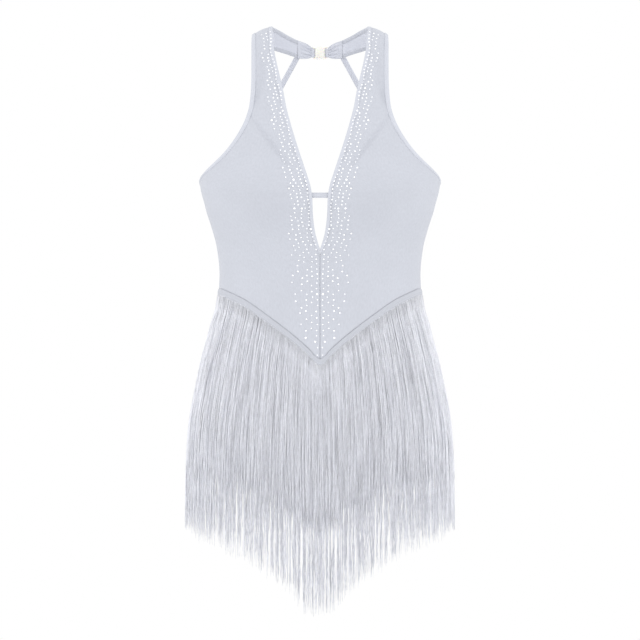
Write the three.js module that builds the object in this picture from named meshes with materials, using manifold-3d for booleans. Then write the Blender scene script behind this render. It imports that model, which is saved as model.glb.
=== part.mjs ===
// A figure skating dress, filled out as it is worn and hollow: two bodice fronts whose halter straps
// run over the shoulders to a clasp behind the neck, a low back, a brief and two tiers of fringe.
// Millimetres, +Z up, the front faces -Y and the wearer's left is at +X. The origin lies midway
// between the tops of the two straps, where the dress hangs on the neck and shoulders.
import * as THREE from "three";
import { mergeVertices } from "three/addons/utils/BufferGeometryUtils.js";
import Module from "manifold-3d";

const wasm = await Module();
wasm.setup();

// ---- driving dimensions ----

const CLOTH = 1.2; // wall of the stretch cloth
const GAP = 0.3; // between two pieces at a seam
const HALF_GAP = GAP / 2;
const BINDING = { width: 5.6, proud: 0.5, thick: 1.9, crown: 0.4 };
const ROUNDNESS = 2.2; // exponent of a body section, 2 being an ellipse
const BUST = { across: 72, level: -204, wide: 44, tall: 42, rise: 14 };
const SHOULDER = { from: 61.8, bend: 0.0152, fade: 70 };
const UNDERARM = -199;
const WAIST = -322;
const CROTCH = { level: -590, start: -500, half: 34 };

// The figure's sections: half width, depth before and behind the middle line, and that line's place.
const SECTIONS = [
  { level: 0, half: 178, front: -6, back: 40, middle: 6 },
  { level: -3, half: 178, front: 4, back: 48, middle: 6 },
  { level: -8, half: 178, front: 13, back: 56, middle: 6 },
  { level: -16, half: 177, front: 23, back: 63, middle: 6 },
  { level: -28, half: 176, front: 33, back: 70, middle: 6 },
  { level: -45, half: 175, front: 43, back: 77, middle: 6 },
  { level: -65, half: 174, front: 52, back: 84, middle: 5 },
  { level: -85, half: 173, front: 61, back: 90, middle: 5 },
  { level: -105, half: 171, front: 70, back: 94, middle: 4 },
  { level: -130, half: 167, front: 82, back: 97, middle: 3 },
  { level: -160, half: 161, front: 95, back: 97, middle: 2 },
  { level: -185, half: 157.5, front: 104, back: 95, middle: 1 },
  { level: UNDERARM, half: 156.6, front: 107, back: 93, middle: 0 },
  { level: -212, half: 155, front: 108, back: 91, middle: 0 },
  { level: -225, half: 151.5, front: 106, back: 89, middle: 0 },
  { level: -238, half: 148.3, front: 103, back: 87, middle: 0 },
  { level: -264, half: 140, front: 96, back: 84, middle: 0 },
  { level: -290, half: 133.6, front: 91, back: 82, middle: 0 },
  { level: WAIST, half: 130.6, front: 88, back: 82, middle: 0 },
  { level: -341, half: 131.4, front: 88.5, back: 84.5, middle: 0 },
  { level: -355, half: 131.9, front: 89.8, back: 88, middle: 0 },
  { level: -380, half: 136.4, front: 93.6, back: 94.5, middle: 0 },
  { level: -406, half: 141, front: 97, back: 101, middle: 0 },
  { level: -432, half: 147.6, front: 100.2, back: 107, middle: 0 },
  { level: -458, half: 153.1, front: 103, back: 112, middle: 0 },
  { level: -484, half: 158.4, front: 105, back: 115.5, middle: 0 },
  { level: -510, half: 162.9, front: 106.4, back: 117.5, middle: 0 },
  { level: -536, half: 165.6, front: 107.4, back: 118.6, middle: 0 },
  { level: -600, half: 168.2, front: 108.6, back: 119.8, middle: 0 },
  { level: -700, half: 169.2, front: 109.4, back: 120.6, middle: 0 },
  { level: -760, half: 169.6, front: 109.8, back: 121, middle: 0 },
];

// How far the face of the upper fringe stands off the figure.
const COVER = [
  { level: -330, out: 1.6 },
  { level: -341, out: 2.2 },
  { level: -355, out: 3.0 },
  { level: -380, out: 4.6 },
  { level: -406, out: 6.6 },
  { level: -432, out: 7.4 },
  { level: -760, out: 7.4 },
];

// The inner edge of a front: strap, plunging neckline and keyhole, by its distance from the middle.
const NECKLINE = [
  { level: 0, across: 61.8 },
  { level: -31, across: 59.4 },
  { level: -56, across: 54 },
  { level: -82, across: 48 },
  { level: -108, across: 43 },
  { level: -134, across: 35.8 },
  { level: -160, across: 27.8 },
  { level: -186, across: 19.2 },
  { level: -212, across: 11.4 },
  { level: -225, across: 9.8 },
  { level: -238, across: 9.5 },
  { level: -251, across: 8.6 },
  { level: -264, across: 7 },
  { level: -277, across: 3.9 },
  { level: -288.6, across: HALF_GAP },
];
const KEYHOLE_END = -288.6;

// The outer edge of a front: strap and armhole.
const ARMHOLE = [
  { level: 0, across: 88.4 },
  { level: -16, across: 89 },
  { level: -60, across: 89 },
  { level: -95, across: 90.4 },
  { level: -108, across: 93 },
  { level: -121, across: 97 },
  { level: -134, across: 103.4 },
  { level: -147, across: 111.4 },
  { level: -160, across: 121 },
  { level: -173, across: 133.4 },
  { level: -186, across: 147 },
  { level: -194, across: 154 },
  { level: UNDERARM, across: 156.6 },
];

// Rows across a front, from the top of the strap to the waist seam, by their level at each edge.
// `neck` ends on the neckline or the middle seam, `side` on the armhole or the side seam.
const FRONT_ROWS = [
  { neck: 0, side: 0 },
  { neck: -3, side: -3 },
  { neck: -8, side: -8 },
  { neck: -16, side: -16 },
  { neck: -28, side: -28 },
  { neck: -45, side: -45 },
  { neck: -65, side: -65 },
  { neck: -85, side: -84 },
  { neck: -105, side: -102 },
  { neck: -125, side: -119 },
  { neck: -143, side: -135 },
  { neck: -160, side: -150 },
  { neck: -176, side: -164 },
  { neck: -191, side: -176 },
  { neck: -205, side: -187 },
  { neck: -216, side: -195 },
  { neck: -227, side: UNDERARM },
  { neck: -240, side: -216 },
  { neck: -254, side: -229 },
  { neck: -267, side: -242 },
  { neck: -279, side: -255 },
  { neck: KEYHOLE_END, side: -268 },
  { neck: -314, side: -282 },
  { neck: -334, side: -297 },
  { neck: -356, side: -311 },
  { neck: -381, side: -322 },
  { neck: -407, side: -332 },
  { neck: -432, side: -341 },
];
const ARMHOLE_ROW = FRONT_ROWS.findIndex((row) => row.side === UNDERARM);
const KEYHOLE_ROW = FRONT_ROWS.findIndex((row) => row.neck === KEYHOLE_END);

// The strap behind the shoulder, from its top to its seam: its neck edge and its lower edge.
const BAND = [
  { neck: [60.2, 20, -0.7], low: [85, 24, -18] },
  { neck: [56, 33, -2.6], low: [76.5, 39, -23.2] },
  { neck: [50, 44, -5.5], low: [65, 51, -28] },
  { neck: [43.4, 52, -9.5], low: [53, 60, -31.8] },
  { neck: [36.6, 57.6, -13], low: [41, 66.6, -35.4] },
  { neck: [29.9, 61.5, -16.3], low: [29.9, 71, -39.3] },
];

// The tab from the strap's seam to the clasp.
const TAB = [
  { neck: [29.5, 61.7, -16.5], low: [29.5, 71.2, -39.4] },
  { neck: [24, 64.1, -18.6], low: [24, 73.1, -40.3] },
  { neck: [18.5, 65.8, -20.7], low: [18.5, 74.2, -40.4] },
  { neck: [13.5, 67.4, -23.6], low: [13.5, 74.8, -39.4] },
  { neck: [10.7, 68.3, -26.1], low: [10.7, 74.3, -38.1] },
];

// The waist seam: a deep V in front, a shallow dip behind.
const FRONT_SEAM = [
  { across: 0, level: -432 },
  { across: 5, level: -429.5 },
  { across: 12, level: -421 },
  { across: 38, level: -398 },
  { across: 77, level: -370 },
  { across: 103, level: -354 },
  { across: 132, level: -341 },
];
const BACK_SEAM = { side: -341, middle: -352 };
const BACK_SCOOP = { shoulder: -206, middle: -297, spread: 58, blunt: 2.6, sharp: 0.62 };

// The leg opening: where the brief's edge lies at each level, in front and behind.
const LEG = [
  { level: -470, front: 158, back: 158 },
  { level: -490, front: 141, back: 155 },
  { level: -510, front: 118, back: 143 },
  { level: -530, front: 93, back: 124 },
  { level: -550, front: 69, back: 98 },
  { level: -565, front: 53, back: 74 },
  { level: -578, front: 41, back: 51 },
  { level: -590, front: 34, back: 34 },
];
const BRIEF_SIDE_ROWS = [-341, -357, -382, -415, -447];

// The fringe: where the hem of the lower tier hangs, and each tier's count and places.
const HEM = [
  { across: 0, level: -760 },
  { across: 15, level: -757 },
  { across: 27, level: -745 },
  { across: 37, level: -733 },
  { across: 49, level: -720 },
  { across: 71, level: -705 },
  { across: 112, level: -680 },
  { across: 142, level: -667 },
  { across: 178, level: -660 },
];
const LOCK = { share: 0.78, deep: 2, tip: 0.6, uneven: 7 };
const FRINGE_GAP = 0.004; // radians left at each side between the front's fringe and the back's
const TAPE = { tall: 11, thick: 1.5, off: 0.6, columns: 32 };
const UPPER = {
  sink: 0,
  bends: [
    { t: 0.12, under: 0 },
    { t: 0.27, under: 0 },
    { t: 0.44, under: 0 },
    { t: 0.66, under: 0 },
    { t: 1, under: 0 },
  ],
};
const LOWER = {
  sink: 1,
  bends: [
    { t: 0.16, under: 3.3 },
    { t: 0.4, under: 3.3 },
    { t: 0.72, under: 3 },
    { t: 1, under: -0.6 },
  ],
};
const TIERS = [
  { name: "fringe_front_upper", facing: 1, locks: 44, ...UPPER },
  { name: "fringe_front_lower", facing: 1, locks: 44, ...LOWER },
  { name: "fringe_back_upper", facing: -1, locks: 36, ...UPPER },
  { name: "fringe_back_lower", facing: -1, locks: 36, ...LOWER },
];
const UPPER_LENGTH = { middle: 223, side: 241 };
const SECOND_ROOT = { middle: 58, side: 75 };

const THIN_STRAP = { width: 7, thick: 1.5, steps: 14, lap: 2.6 };
const BUST_BAR = { level: -220, tall: 7, thick: 1.4, half: 14.5 };
const CLASP = { x: 5.9, tall: 17, plate: 1.7, bar: 1.2, at: 8.6, sleeve: 12.8, rail: 1.5 };

// ---- finishes ----

const KNIT = { color: 0xd4d7e0, roughness: 0.82, metalness: 0 };
const STRANDS = { color: 0xcfd2da, roughness: 0.7, metalness: 0 };
const CREAM = { color: 0xfcf9f5, roughness: 0.35, metalness: 0 };

// ---- reading the tables ----

const lerp = THREE.MathUtils.lerp;
const radians = THREE.MathUtils.degToRad;

/** A smooth reading of one column of a table, with no overshoot between its rows. */
function column(rows, at, value) {
  const points = rows.map((row) => [row[at], row[value]]).sort((a, b) => a[0] - b[0]);
  const slope = points.slice(1).map((p, i) => (p[1] - points[i][1]) / (p[0] - points[i][0]));
  const tangent = points.map((_, i) => {
    const [before, after] = [slope[i - 1] ?? slope[i], slope[i] ?? slope[i - 1]];
    return before * after <= 0 ? 0 : (2 * before * after) / (before + after);
  });
  return (x) => {
    const clamped = THREE.MathUtils.clamp(x, points[0][0], points.at(-1)[0]);
    const i = Math.min(
      points.length - 2,
      Math.max(0, points.findIndex((p) => p[0] > clamped) - 1 >>> 0),
    );
    const [[x0, y0], [x1, y1]] = [points[i], points[i + 1]];
    const [h, t] = [x1 - x0, (clamped - x0) / (x1 - x0)];
    const [t2, t3] = [t * t, t * t * t];
    return (
      (2 * t3 - 3 * t2 + 1) * y0 +
      (t3 - 2 * t2 + t) * h * tangent[i] +
      (3 * t2 - 2 * t3) * y1 +
      (t3 - t2) * h * tangent[i + 1]
    );
  };
}

const halfAt = column(SECTIONS, "level", "half");
const frontAt = column(SECTIONS, "level", "front");
const backAt = column(SECTIONS, "level", "back");
const middleAt = column(SECTIONS, "level", "middle");
const coverAt = column(COVER, "level", "out");
const necklineAt = column(NECKLINE, "level", "across");
const armholeAt = column(ARMHOLE, "level", "across");
const frontSeamAt = column(FRONT_SEAM, "across", "level");
const frontLegAt = column(LEG, "level", "front");
const backLegAt = column(LEG, "level", "back");
const hemAt = column(HEM, "across", "level");

// ---- the figure ----

/** The angle from the middle front at which the section at `level` is `across` wide. */
function angleAt(across, level) {
  const share = THREE.MathUtils.clamp(Math.abs(across) / halfAt(level), 0, 1);
  return Math.sign(across) * Math.asin(share ** (ROUNDNESS / 2));
}

/** A point of the figure, `angle` round from the middle front and `out` off its surface. */
function figure(angle, level, out = 0, tuck = 1) {
  const [s, c] = [Math.sin(angle), Math.cos(angle)];
  const middle = middleAt(level);
  const x = (halfAt(level) + out) * Math.sign(s) * Math.abs(s) ** (2 / ROUNDNESS);
  const reach = Math.abs(c) ** (2 / ROUNDNESS);
  const depth = c >= 0 ? -(frontAt(level) + middle + out) : backAt(level) - middle + out;
  const swell =
    c > 0
      ? BUST.rise *
        Math.exp(
          -(((Math.abs(x) - BUST.across) / BUST.wide) ** 2) - ((level - BUST.level) / BUST.tall) ** 2,
        )
      : 0;
  const slope = Math.max(0, Math.abs(x) - SHOULDER.from) ** 2 * SHOULDER.bend;
  const fade = Math.max(0, 1 + level / SHOULDER.fade) ** 2;
  return new THREE.Vector3(x, middle + depth * reach * tuck - swell, level - slope * fade);
}

const frontSeam = (angle) => frontSeamAt(Math.abs(figure(angle, -380).x));
const backSeam = (angle) => lerp(BACK_SEAM.middle, BACK_SEAM.side, Math.abs(Math.sin(angle)) ** 1.5);

// ---- meshes from grids ----

/** The normal at each point of a grid of rows, all to the side that faces away from the figure. */
function normals(grid) {
  const rows = grid.length;
  const columns = grid[0].length;
  let sum = 0;
  const found = grid.map((row, i) =>
    row.map((point, j) => {
      const down = grid[Math.min(i + 1, rows - 1)][j].clone().sub(grid[Math.max(i - 1, 0)][j]);
      const over = row[Math.min(j + 1, columns - 1)].clone().sub(row[Math.max(j - 1, 0)]);
      const normal = down.cross(over).normalize();
      const inside = new THREE.Vector3(0, 0, THREE.MathUtils.clamp(point.z, -500, -60));
      sum += normal.dot(point.clone().sub(inside));
      return normal;
    }),
  );
  if (sum < 0) {
    found.flat().forEach((normal) => normal.negate());
  }
  return found;
}

const moved = (grid, normal, by) =>
  grid.map((row, i) => row.map((p, j) => p.clone().addScaledVector(normal[i][j], by(i, j))));

/** A closed geometry between two grids of the same size. */
function between(outer, inner) {
  const [rows, columns] = [outer.length, outer[0].length];
  const points = [...outer.flat(), ...inner.flat()];
  const at = (layer, i, j) => layer * rows * columns + i * columns + j;
  const index = [];
  const quad = (a, b, c, d) => index.push(a, b, c, a, c, d);
  for (let i = 0; i + 1 < rows; i++) {
    for (let j = 0; j + 1 < columns; j++) {
      quad(at(0, i, j), at(0, i + 1, j), at(0, i + 1, j + 1), at(0, i, j + 1));
      quad(at(1, i, j), at(1, i, j + 1), at(1, i + 1, j + 1), at(1, i + 1, j));
    }
    quad(at(0, i, 0), at(1, i, 0), at(1, i + 1, 0), at(0, i + 1, 0));
    const last = columns - 1;
    quad(at(0, i, last), at(0, i + 1, last), at(1, i + 1, last), at(1, i, last));
  }
  for (let j = 0; j + 1 < columns; j++) {
    quad(at(0, 0, j), at(0, 0, j + 1), at(1, 0, j + 1), at(1, 0, j));
    const last = rows - 1;
    quad(at(0, last, j), at(1, last, j), at(1, last, j + 1), at(0, last, j + 1));
  }
  return facingOut(points, index);
}

/** A geometry of these triangles, turned so that it holds a positive volume. */
function facingOut(points, index) {
  let volume = 0;
  for (let k = 0; k < index.length; k += 3) {
    const [a, b, c] = [points[index[k]], points[index[k + 1]], points[index[k + 2]]];
    volume += a.dot(b.clone().cross(c));
  }
  const geometry = new THREE.BufferGeometry().setFromPoints(points);
  geometry.setIndex(volume < 0 ? [...index].reverse() : index);
  return geometry;
}

/** A wall of even thickness whose outer face is the grid. */
function wall(grid, thick = CLOTH, proud = 0) {
  const normal = normals(grid);
  return between(
    moved(grid, normal, () => proud),
    moved(grid, normal, () => proud - thick),
  );
}

/** A folded strip of cloth on an edge: three points across, the middle one raised. */
function bindingStrip(edge, seam) {
  const grid = edge.map((p, i) => [p, p.clone().lerp(seam[i], 0.5), seam[i]]);
  const normal = normals(grid);
  const crown = [0, BINDING.crown, 0];
  return between(
    moved(grid, normal, (_, j) => BINDING.proud + crown[j]),
    moved(grid, normal, () => BINDING.proud - BINDING.thick),
  );
}

function mirrored(geometry) {
  const copy = geometry.clone().scale(-1, 1, 1);
  copy.setIndex([...geometry.index.array].reverse());
  return copy;
}

// ---- joining with manifold-3d ----

function solid(geometry) {
  const bare = geometry.clone();
  bare.deleteAttribute("normal");
  bare.deleteAttribute("uv");
  const merged = mergeVertices(bare, 1e-4);
  const mesh = new wasm.Mesh({
    numProp: 3,
    vertProperties: Float32Array.from(merged.attributes.position.array),
    triVerts: Uint32Array.from(merged.index.array),
  });
  return new wasm.Manifold(mesh);
}

function joined(geometries) {
  const mesh = wasm.Manifold.union(geometries.map(solid)).getMesh();
  return new THREE.BufferGeometry()
    .setAttribute("position", new THREE.BufferAttribute(mesh.vertProperties, 3))
    .setIndex(new THREE.BufferAttribute(mesh.triVerts, 1));
}

// ---- the fronts ----

/** A place on the figure moved `by` across its surface from an edge, at right angles to the edge. */
function inward(edge, i, toward, by) {
  const { angle, level } = edge[i];
  const step = 1e-3;
  const here = figure(angle, level);
  const turn = figure(angle + step, level).sub(here).divideScalar(step);
  const fall = figure(angle, level - 0.05).sub(here).divideScalar(-0.05);
  const [before, after] = [edge[Math.max(0, i - 1)], edge[Math.min(edge.length - 1, i + 1)]];
  const along = figure(after.angle, after.level).sub(figure(before.angle, before.level)).normalize();
  const off = figure(toward.angle, toward.level).sub(here);
  const across = off.addScaledVector(along, -off.dot(along)).setLength(by);
  const [tt, tf, ff] = [turn.dot(turn), turn.dot(fall), fall.dot(fall)];
  const [at, af] = [across.dot(turn), across.dot(fall)];
  const det = tt * ff - tf * tf;
  return { angle: angle + (at * ff - af * tf) / det, level: level + (af * tt - at * tf) / det };
}

/** The ends of each row of a front, and the same places moved in `by` from its bound edges. */
function frontPlaces(by) {
  const side = Math.PI / 2 - HALF_GAP / 90;
  const neck = FRONT_ROWS.map(({ neck: level }) => ({
    level,
    angle: angleAt(level > KEYHOLE_END ? necklineAt(level) : HALF_GAP, level),
  }));
  const arm = FRONT_ROWS.map(({ side: level }) => ({
    level,
    angle: level > UNDERARM ? Math.min(side, angleAt(armholeAt(level), level)) : side,
  }));
  const neckSeam = neck.map((place, i) => {
    if (i > KEYHOLE_ROW) {
      return place;
    }
    if (i === KEYHOLE_ROW) {
      const level = KEYHOLE_END - 1.5 * by;
      return { level, angle: angleAt(HALF_GAP, level) };
    }
    return inward(neck, i, arm[i], by);
  });
  const armSeam = arm.map((place, i) => {
    if (i > ARMHOLE_ROW) {
      return place;
    }
    if (i === ARMHOLE_ROW) {
      return { level: UNDERARM - by, angle: side };
    }
    const found = inward(arm, i, neck[i], by);
    return { level: found.level, angle: Math.min(side, found.angle) };
  });
  return { neck, neckSeam, armSeam, arm };
}

const vector = (list) => new THREE.Vector3(...list);

/** The four lines that bound a front and its bindings, each from the strap's seam to its end. */
function frontLines() {
  const places = frontPlaces(BINDING.width);
  const onFigure = (list) => list.map(({ angle, level }) => figure(angle, level));
  const band = BAND.map(({ neck, low }) => {
    const [a, b] = [vector(neck), vector(low)];
    const share = BINDING.width / a.distanceTo(b);
    return [a, a.clone().lerp(b, share), b.clone().lerp(a, share), b];
  }).reverse();
  const keys = ["neck", "neckSeam", "armSeam", "arm"];
  return keys.map((key, k) => [...band.map((row) => row[k]), ...onFigure(places[key])]);
}

const PANEL_COLUMNS = 8;

function frontPanel() {
  const { neckSeam, armSeam } = frontPlaces(BINDING.width + 2.5 * GAP);
  const last = FRONT_ROWS.length - 1;
  const rows = FRONT_ROWS.map((_, i) => {
    const [a, b] = [neckSeam[i], armSeam[i]];
    return Array.from({ length: PANEL_COLUMNS + 1 }, (_, j) => {
      const t = j / PANEL_COLUMNS;
      const straight = lerp(a.level, b.level, t);
      const angle = lerp(a.angle, b.angle, t);
      const bend = frontSeam(angle) - lerp(FRONT_SEAM[0].level, BACK_SEAM.side, t);
      const weight = Math.max(0, (i - ARMHOLE_ROW) / (last - ARMHOLE_ROW));
      const lift = i === last ? HALF_GAP : 0;
      return figure(angle, straight + bend * weight ** 2 + lift);
    });
  });
  const band = BAND.map(({ neck, low }) => {
    const [a, b] = [vector(neck), vector(low)];
    const share = (BINDING.width + GAP) / a.distanceTo(b);
    return Array.from({ length: PANEL_COLUMNS + 1 }, (_, j) =>
      a.clone().lerp(b, lerp(share, 1 - share, j / PANEL_COLUMNS)),
    );
  }).reverse();
  return wall([...band, ...rows]);
}

const BAND_ROWS = BAND.length;

function neckBinding() {
  const [edge, seam] = frontLines();
  const rows = BAND_ROWS + KEYHOLE_ROW + 1;
  return bindingStrip(edge.slice(0, rows), seam.slice(0, rows));
}

function armholeBinding() {
  const [, , seam, edge] = frontLines();
  const rows = BAND_ROWS + ARMHOLE_ROW + 1;
  return bindingStrip(edge.slice(0, rows), seam.slice(0, rows));
}

// ---- the clasp and its tabs ----

const CLASP_TOP = vector(TAB.at(-1).neck).setX(0);
const CLASP_LOW = vector(TAB.at(-1).low).setX(0);
const CLASP_MIDDLE = CLASP_TOP.clone().lerp(CLASP_LOW, 0.5);
const CLASP_LEAN = Math.atan2(CLASP_LOW.y - CLASP_TOP.y, CLASP_TOP.z - CLASP_LOW.z);

/** Places a clasp piece drawn in plan, extruded upright, on the leaning line behind the neck. */
function onClasp(geometry) {
  const turned = geometry.clone().rotateX(CLASP_LEAN);
  return turned.translate(CLASP_MIDDLE.x, CLASP_MIDDLE.y, CLASP_MIDDLE.z);
}

/** An outline in plan, raised to a height and centred on it. */
function upright(shape, tall, bevel = 0) {
  const geometry = new THREE.ExtrudeGeometry(shape, {
    depth: tall - 2 * bevel,
    bevelEnabled: bevel > 0,
    bevelThickness: bevel,
    bevelSize: bevel,
    bevelOffset: -bevel,
    bevelSegments: 1,
    curveSegments: 6,
  });
  return geometry.translate(0, 0, -tall / 2 + bevel);
}

function ring(x, outer, hole) {
  const shape = new THREE.Shape().absarc(x, 0, outer, 0, 2 * Math.PI);
  if (hole > 0) {
    shape.holes.push(new THREE.Path().absarc(x, 0, hole, 0, 2 * Math.PI, true));
  }
  return shape;
}

function plate(x0, x1, y0, y1) {
  return new THREE.Shape([
    new THREE.Vector2(x0, y0),
    new THREE.Vector2(x1, y0),
    new THREE.Vector2(x1, y1),
    new THREE.Vector2(x0, y1),
  ]);
}

function tab() {
  const rows = TAB.map(({ neck, low }, i) => {
    const [a, b] = [vector(neck), vector(low)];
    return Array.from({ length: 5 }, (_, j) => {
      const gather = i > 0 && i < TAB.length - 1 ? (j % 2 ? 0.5 : -0.3) : 0;
      return a.clone().lerp(b, j / 4).add(new THREE.Vector3(0, gather, 0));
    });
  });
  const sleeve = upright(ring(CLASP.at, 2.7, CLASP.bar + GAP), CLASP.sleeve);
  return joined([wall(rows, 1.4, 0.7), onClasp(sleeve)]);
}

/** The two rails and the pin that hold a tab's sleeve, on the side that `side` gives. */
function claspBow(side, from, depth) {
  const { tall, bar, at, rail } = CLASP;
  const [x0, x1] = side > 0 ? [from, at] : [-at, -from];
  const rails = [-1, 1].map((end) =>
    upright(plate(x0, x1, ...depth), rail).translate(0, 0, (end * (tall - rail)) / 2),
  );
  return [...rails, upright(ring(side * at, bar, 0), tall - 0.2)];
}

/** The half with the face plate, whose tongue turns round the other half's cross bar. */
function claspHook() {
  const { x, tall, plate: thick } = CLASP;
  const near = -3.2;
  const face = upright(plate(-x, x, near, near + thick), tall, 0.4);
  const turn = upright(plate(x - 1.8, x - 0.2, near + 0.4, 2.6), 9);
  const tongue = upright(plate(-0.6, x - 0.4, 1.2, 2.6), 9.2);
  return onClasp(joined([face, turn, tongue, ...claspBow(-1, x - 1.4, [near + 0.3, 0.9])]));
}

/** The half whose cross bar lies in the hook. */
function claspLoop() {
  const { tall } = CLASP;
  const cross = upright(plate(1.6, 3.6, -1.1, 0.8), tall - 0.1);
  return onClasp(joined([cross, ...claspBow(1, 1.8, [-0.9, 0.7])]));
}

// ---- the bar between the fronts and the thin straps behind ----

function bustBar() {
  const { level, tall, thick, half } = BUST_BAR;
  const rows = [0, 0.5, 1].map((v) =>
    Array.from({ length: 9 }, (_, j) => {
      const x = lerp(-half, half, j / 8);
      const z = level + tall * (0.5 - v);
      const front = figure(angleAt(x, z), z);
      return front.setX(x);
    }),
  );
  return wall(rows, thick, -(BINDING.thick - BINDING.proud + GAP));
}

// A thin strap runs on the outside of the neck tab's root and ends inside the back's top edge.
const STRAP_START = { across: 26.6, level: -32.7, out: 73.6 };
const STRAP_END = { across: 129.5, level: -219 };
const STRAP_SETTLES = 26;

function thinStrap() {
  const { width, thick, steps, lap } = THIN_STRAP;
  const along = new THREE.Vector2(
    STRAP_END.across - STRAP_START.across,
    STRAP_END.level - STRAP_START.level,
  ).normalize();
  const onBack = (x, z) => figure(Math.PI - angleAt(x, z), z).y;
  const lift = onBack(STRAP_START.across, STRAP_START.level) - STRAP_START.out;
  const rows = Array.from({ length: steps + 1 }, (_, i) => {
    const t = i / steps;
    const x = lerp(STRAP_START.across, STRAP_END.across, t);
    const z = lerp(STRAP_START.level, STRAP_END.level, t);
    const fallen = STRAP_START.level - z;
    const near = lift * Math.exp(-((fallen / STRAP_SETTLES) ** 2));
    const sunk = (lap + 0.6) * THREE.MathUtils.smoothstep(t, 0.72, 0.92);
    return [-0.5, 0.5].map((side) => {
      const px = x - side * width * along.y;
      const pz = z + side * width * along.x;
      return new THREE.Vector3(px, onBack(px, pz) - near - sunk, pz);
    });
  });
  return wall(rows, thick, 0);
}

// ---- the back and the brief ----

function scoop(angle) {
  const { shoulder, middle, spread, blunt, sharp } = BACK_SCOOP;
  const share = Math.abs(angle) / radians(spread);
  return share >= 1 ? shoulder : shoulder + (middle - shoulder) * (1 - share ** blunt) ** sharp;
}

const BACK_COLUMNS = 32;
const BACK_ROWS = 5;

/** The back's top edge from one side seam to the other, moved in `by`. */
function backEdge(by) {
  const limit = Math.PI / 2 - HALF_GAP / 90;
  const edge = Array.from({ length: BACK_COLUMNS + 1 }, (_, j) => {
    const angle = lerp(-limit, limit, j / BACK_COLUMNS);
    const rise = Math.abs(angle) > radians(BACK_SCOOP.spread) ? armRise(angle) : 0;
    return { angle: Math.PI - angle, level: scoop(angle) + rise };
  });
  const ends = [0, BACK_COLUMNS];
  return edge.map(({ angle, level }, j) =>
    ends.includes(j)
      ? { angle, level: level - by }
      : inward(edge, j, { angle, level: BACK_SEAM.middle - 10 }, by),
  );
}

/** How much the back's top edge rises towards the side seam, to meet the armhole. */
function armRise(angle) {
  const share = (Math.abs(angle) - radians(BACK_SCOOP.spread)) / (Math.PI / 2 - radians(BACK_SCOOP.spread));
  return (UNDERARM - BACK_SCOOP.shoulder) * share ** 2;
}

function backPanel() {
  const top = backEdge(BINDING.width + GAP);
  const foot = (angle) => backSeam(Math.PI - angle) + HALF_GAP;
  const rows = Array.from({ length: BACK_ROWS + 1 }, (_, i) =>
    top.map(({ angle, level }) => figure(angle, lerp(level, foot(angle), i / BACK_ROWS))),
  );
  return wall(rows);
}

function backBinding() {
  const [edge, seam] = [0, BINDING.width].map((by) =>
    backEdge(by).map(({ angle, level }) => figure(angle, level)),
  );
  return bindingStrip(edge, seam);
}

/** How far a section is drawn in towards the crotch. */
function tuckAt(level) {
  const share = (CROTCH.start - level) / (CROTCH.start - CROTCH.level);
  return share > 0 ? Math.sqrt(Math.max(0, 1 - share * share)) : 1;
}

const BRIEF_COLUMNS = 2 * PANEL_COLUMNS;

function brief(facing) {
  const [seam, legAt, key] = facing > 0 ? [frontSeam, frontLegAt, "front"] : [backSeam, backLegAt, "back"];
  const limit = Math.PI / 2 - HALF_GAP / 90;
  const edges = [
    ...BRIEF_SIDE_ROWS.map((level) => ({ level, angle: limit })),
    ...LEG.map((row) => ({ level: row.level, angle: Math.min(limit, angleAt(row[key], row.level)) })),
  ];
  const first = seam(0);
  const rows = edges.map(({ level, angle: limitHere }, i) => {
    const v = i / (edges.length - 1);
    const centre = lerp(first, CROTCH.level, v);
    return Array.from({ length: BRIEF_COLUMNS + 1 }, (_, j) => {
      const side = lerp(-1, 1, j / BRIEF_COLUMNS);
      const angle = side * limitHere;
      const plain = lerp(centre, level, Math.abs(side) ** 1.6);
      const shaped = lerp(seam(angle), plain, Math.min(1, 2.2 * v));
      const at = shaped - (i === 0 ? HALF_GAP : 0);
      const point = figure(facing > 0 ? angle : Math.PI - angle, at, 0, tuckAt(at));
      point.y -= facing * (HALF_GAP + (CLOTH / 2) * (1 - tuckAt(at)));
      return point;
    });
  });
  return wall(rows);
}

// ---- the fringe ----

/** A repeatable unevenness between -1 and 1. */
const uneven = (seed) => 2 * (Math.abs(Math.sin(seed * 12.9898) * 43758.5453) % 1) - 1;

function tierPlaces({ facing, sink }) {
  const seam = facing > 0 ? frontSeam : backSeam;
  const share = (angle) => Math.abs(Math.sin(angle));
  const root = (angle) =>
    seam(angle) - 1.2 - sink * lerp(SECOND_ROOT.middle, SECOND_ROOT.side, share(angle));
  const end = (angle) => {
    const x = Math.abs(figure(angle, -600, 6).x);
    const hem = facing > 0 ? hemAt(x) : HEM.at(-1).level;
    const upper = seam(angle) - lerp(UPPER_LENGTH.middle, UPPER_LENGTH.side, share(angle));
    return sink ? hem : upper;
  };
  return { root, end };
}

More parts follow.
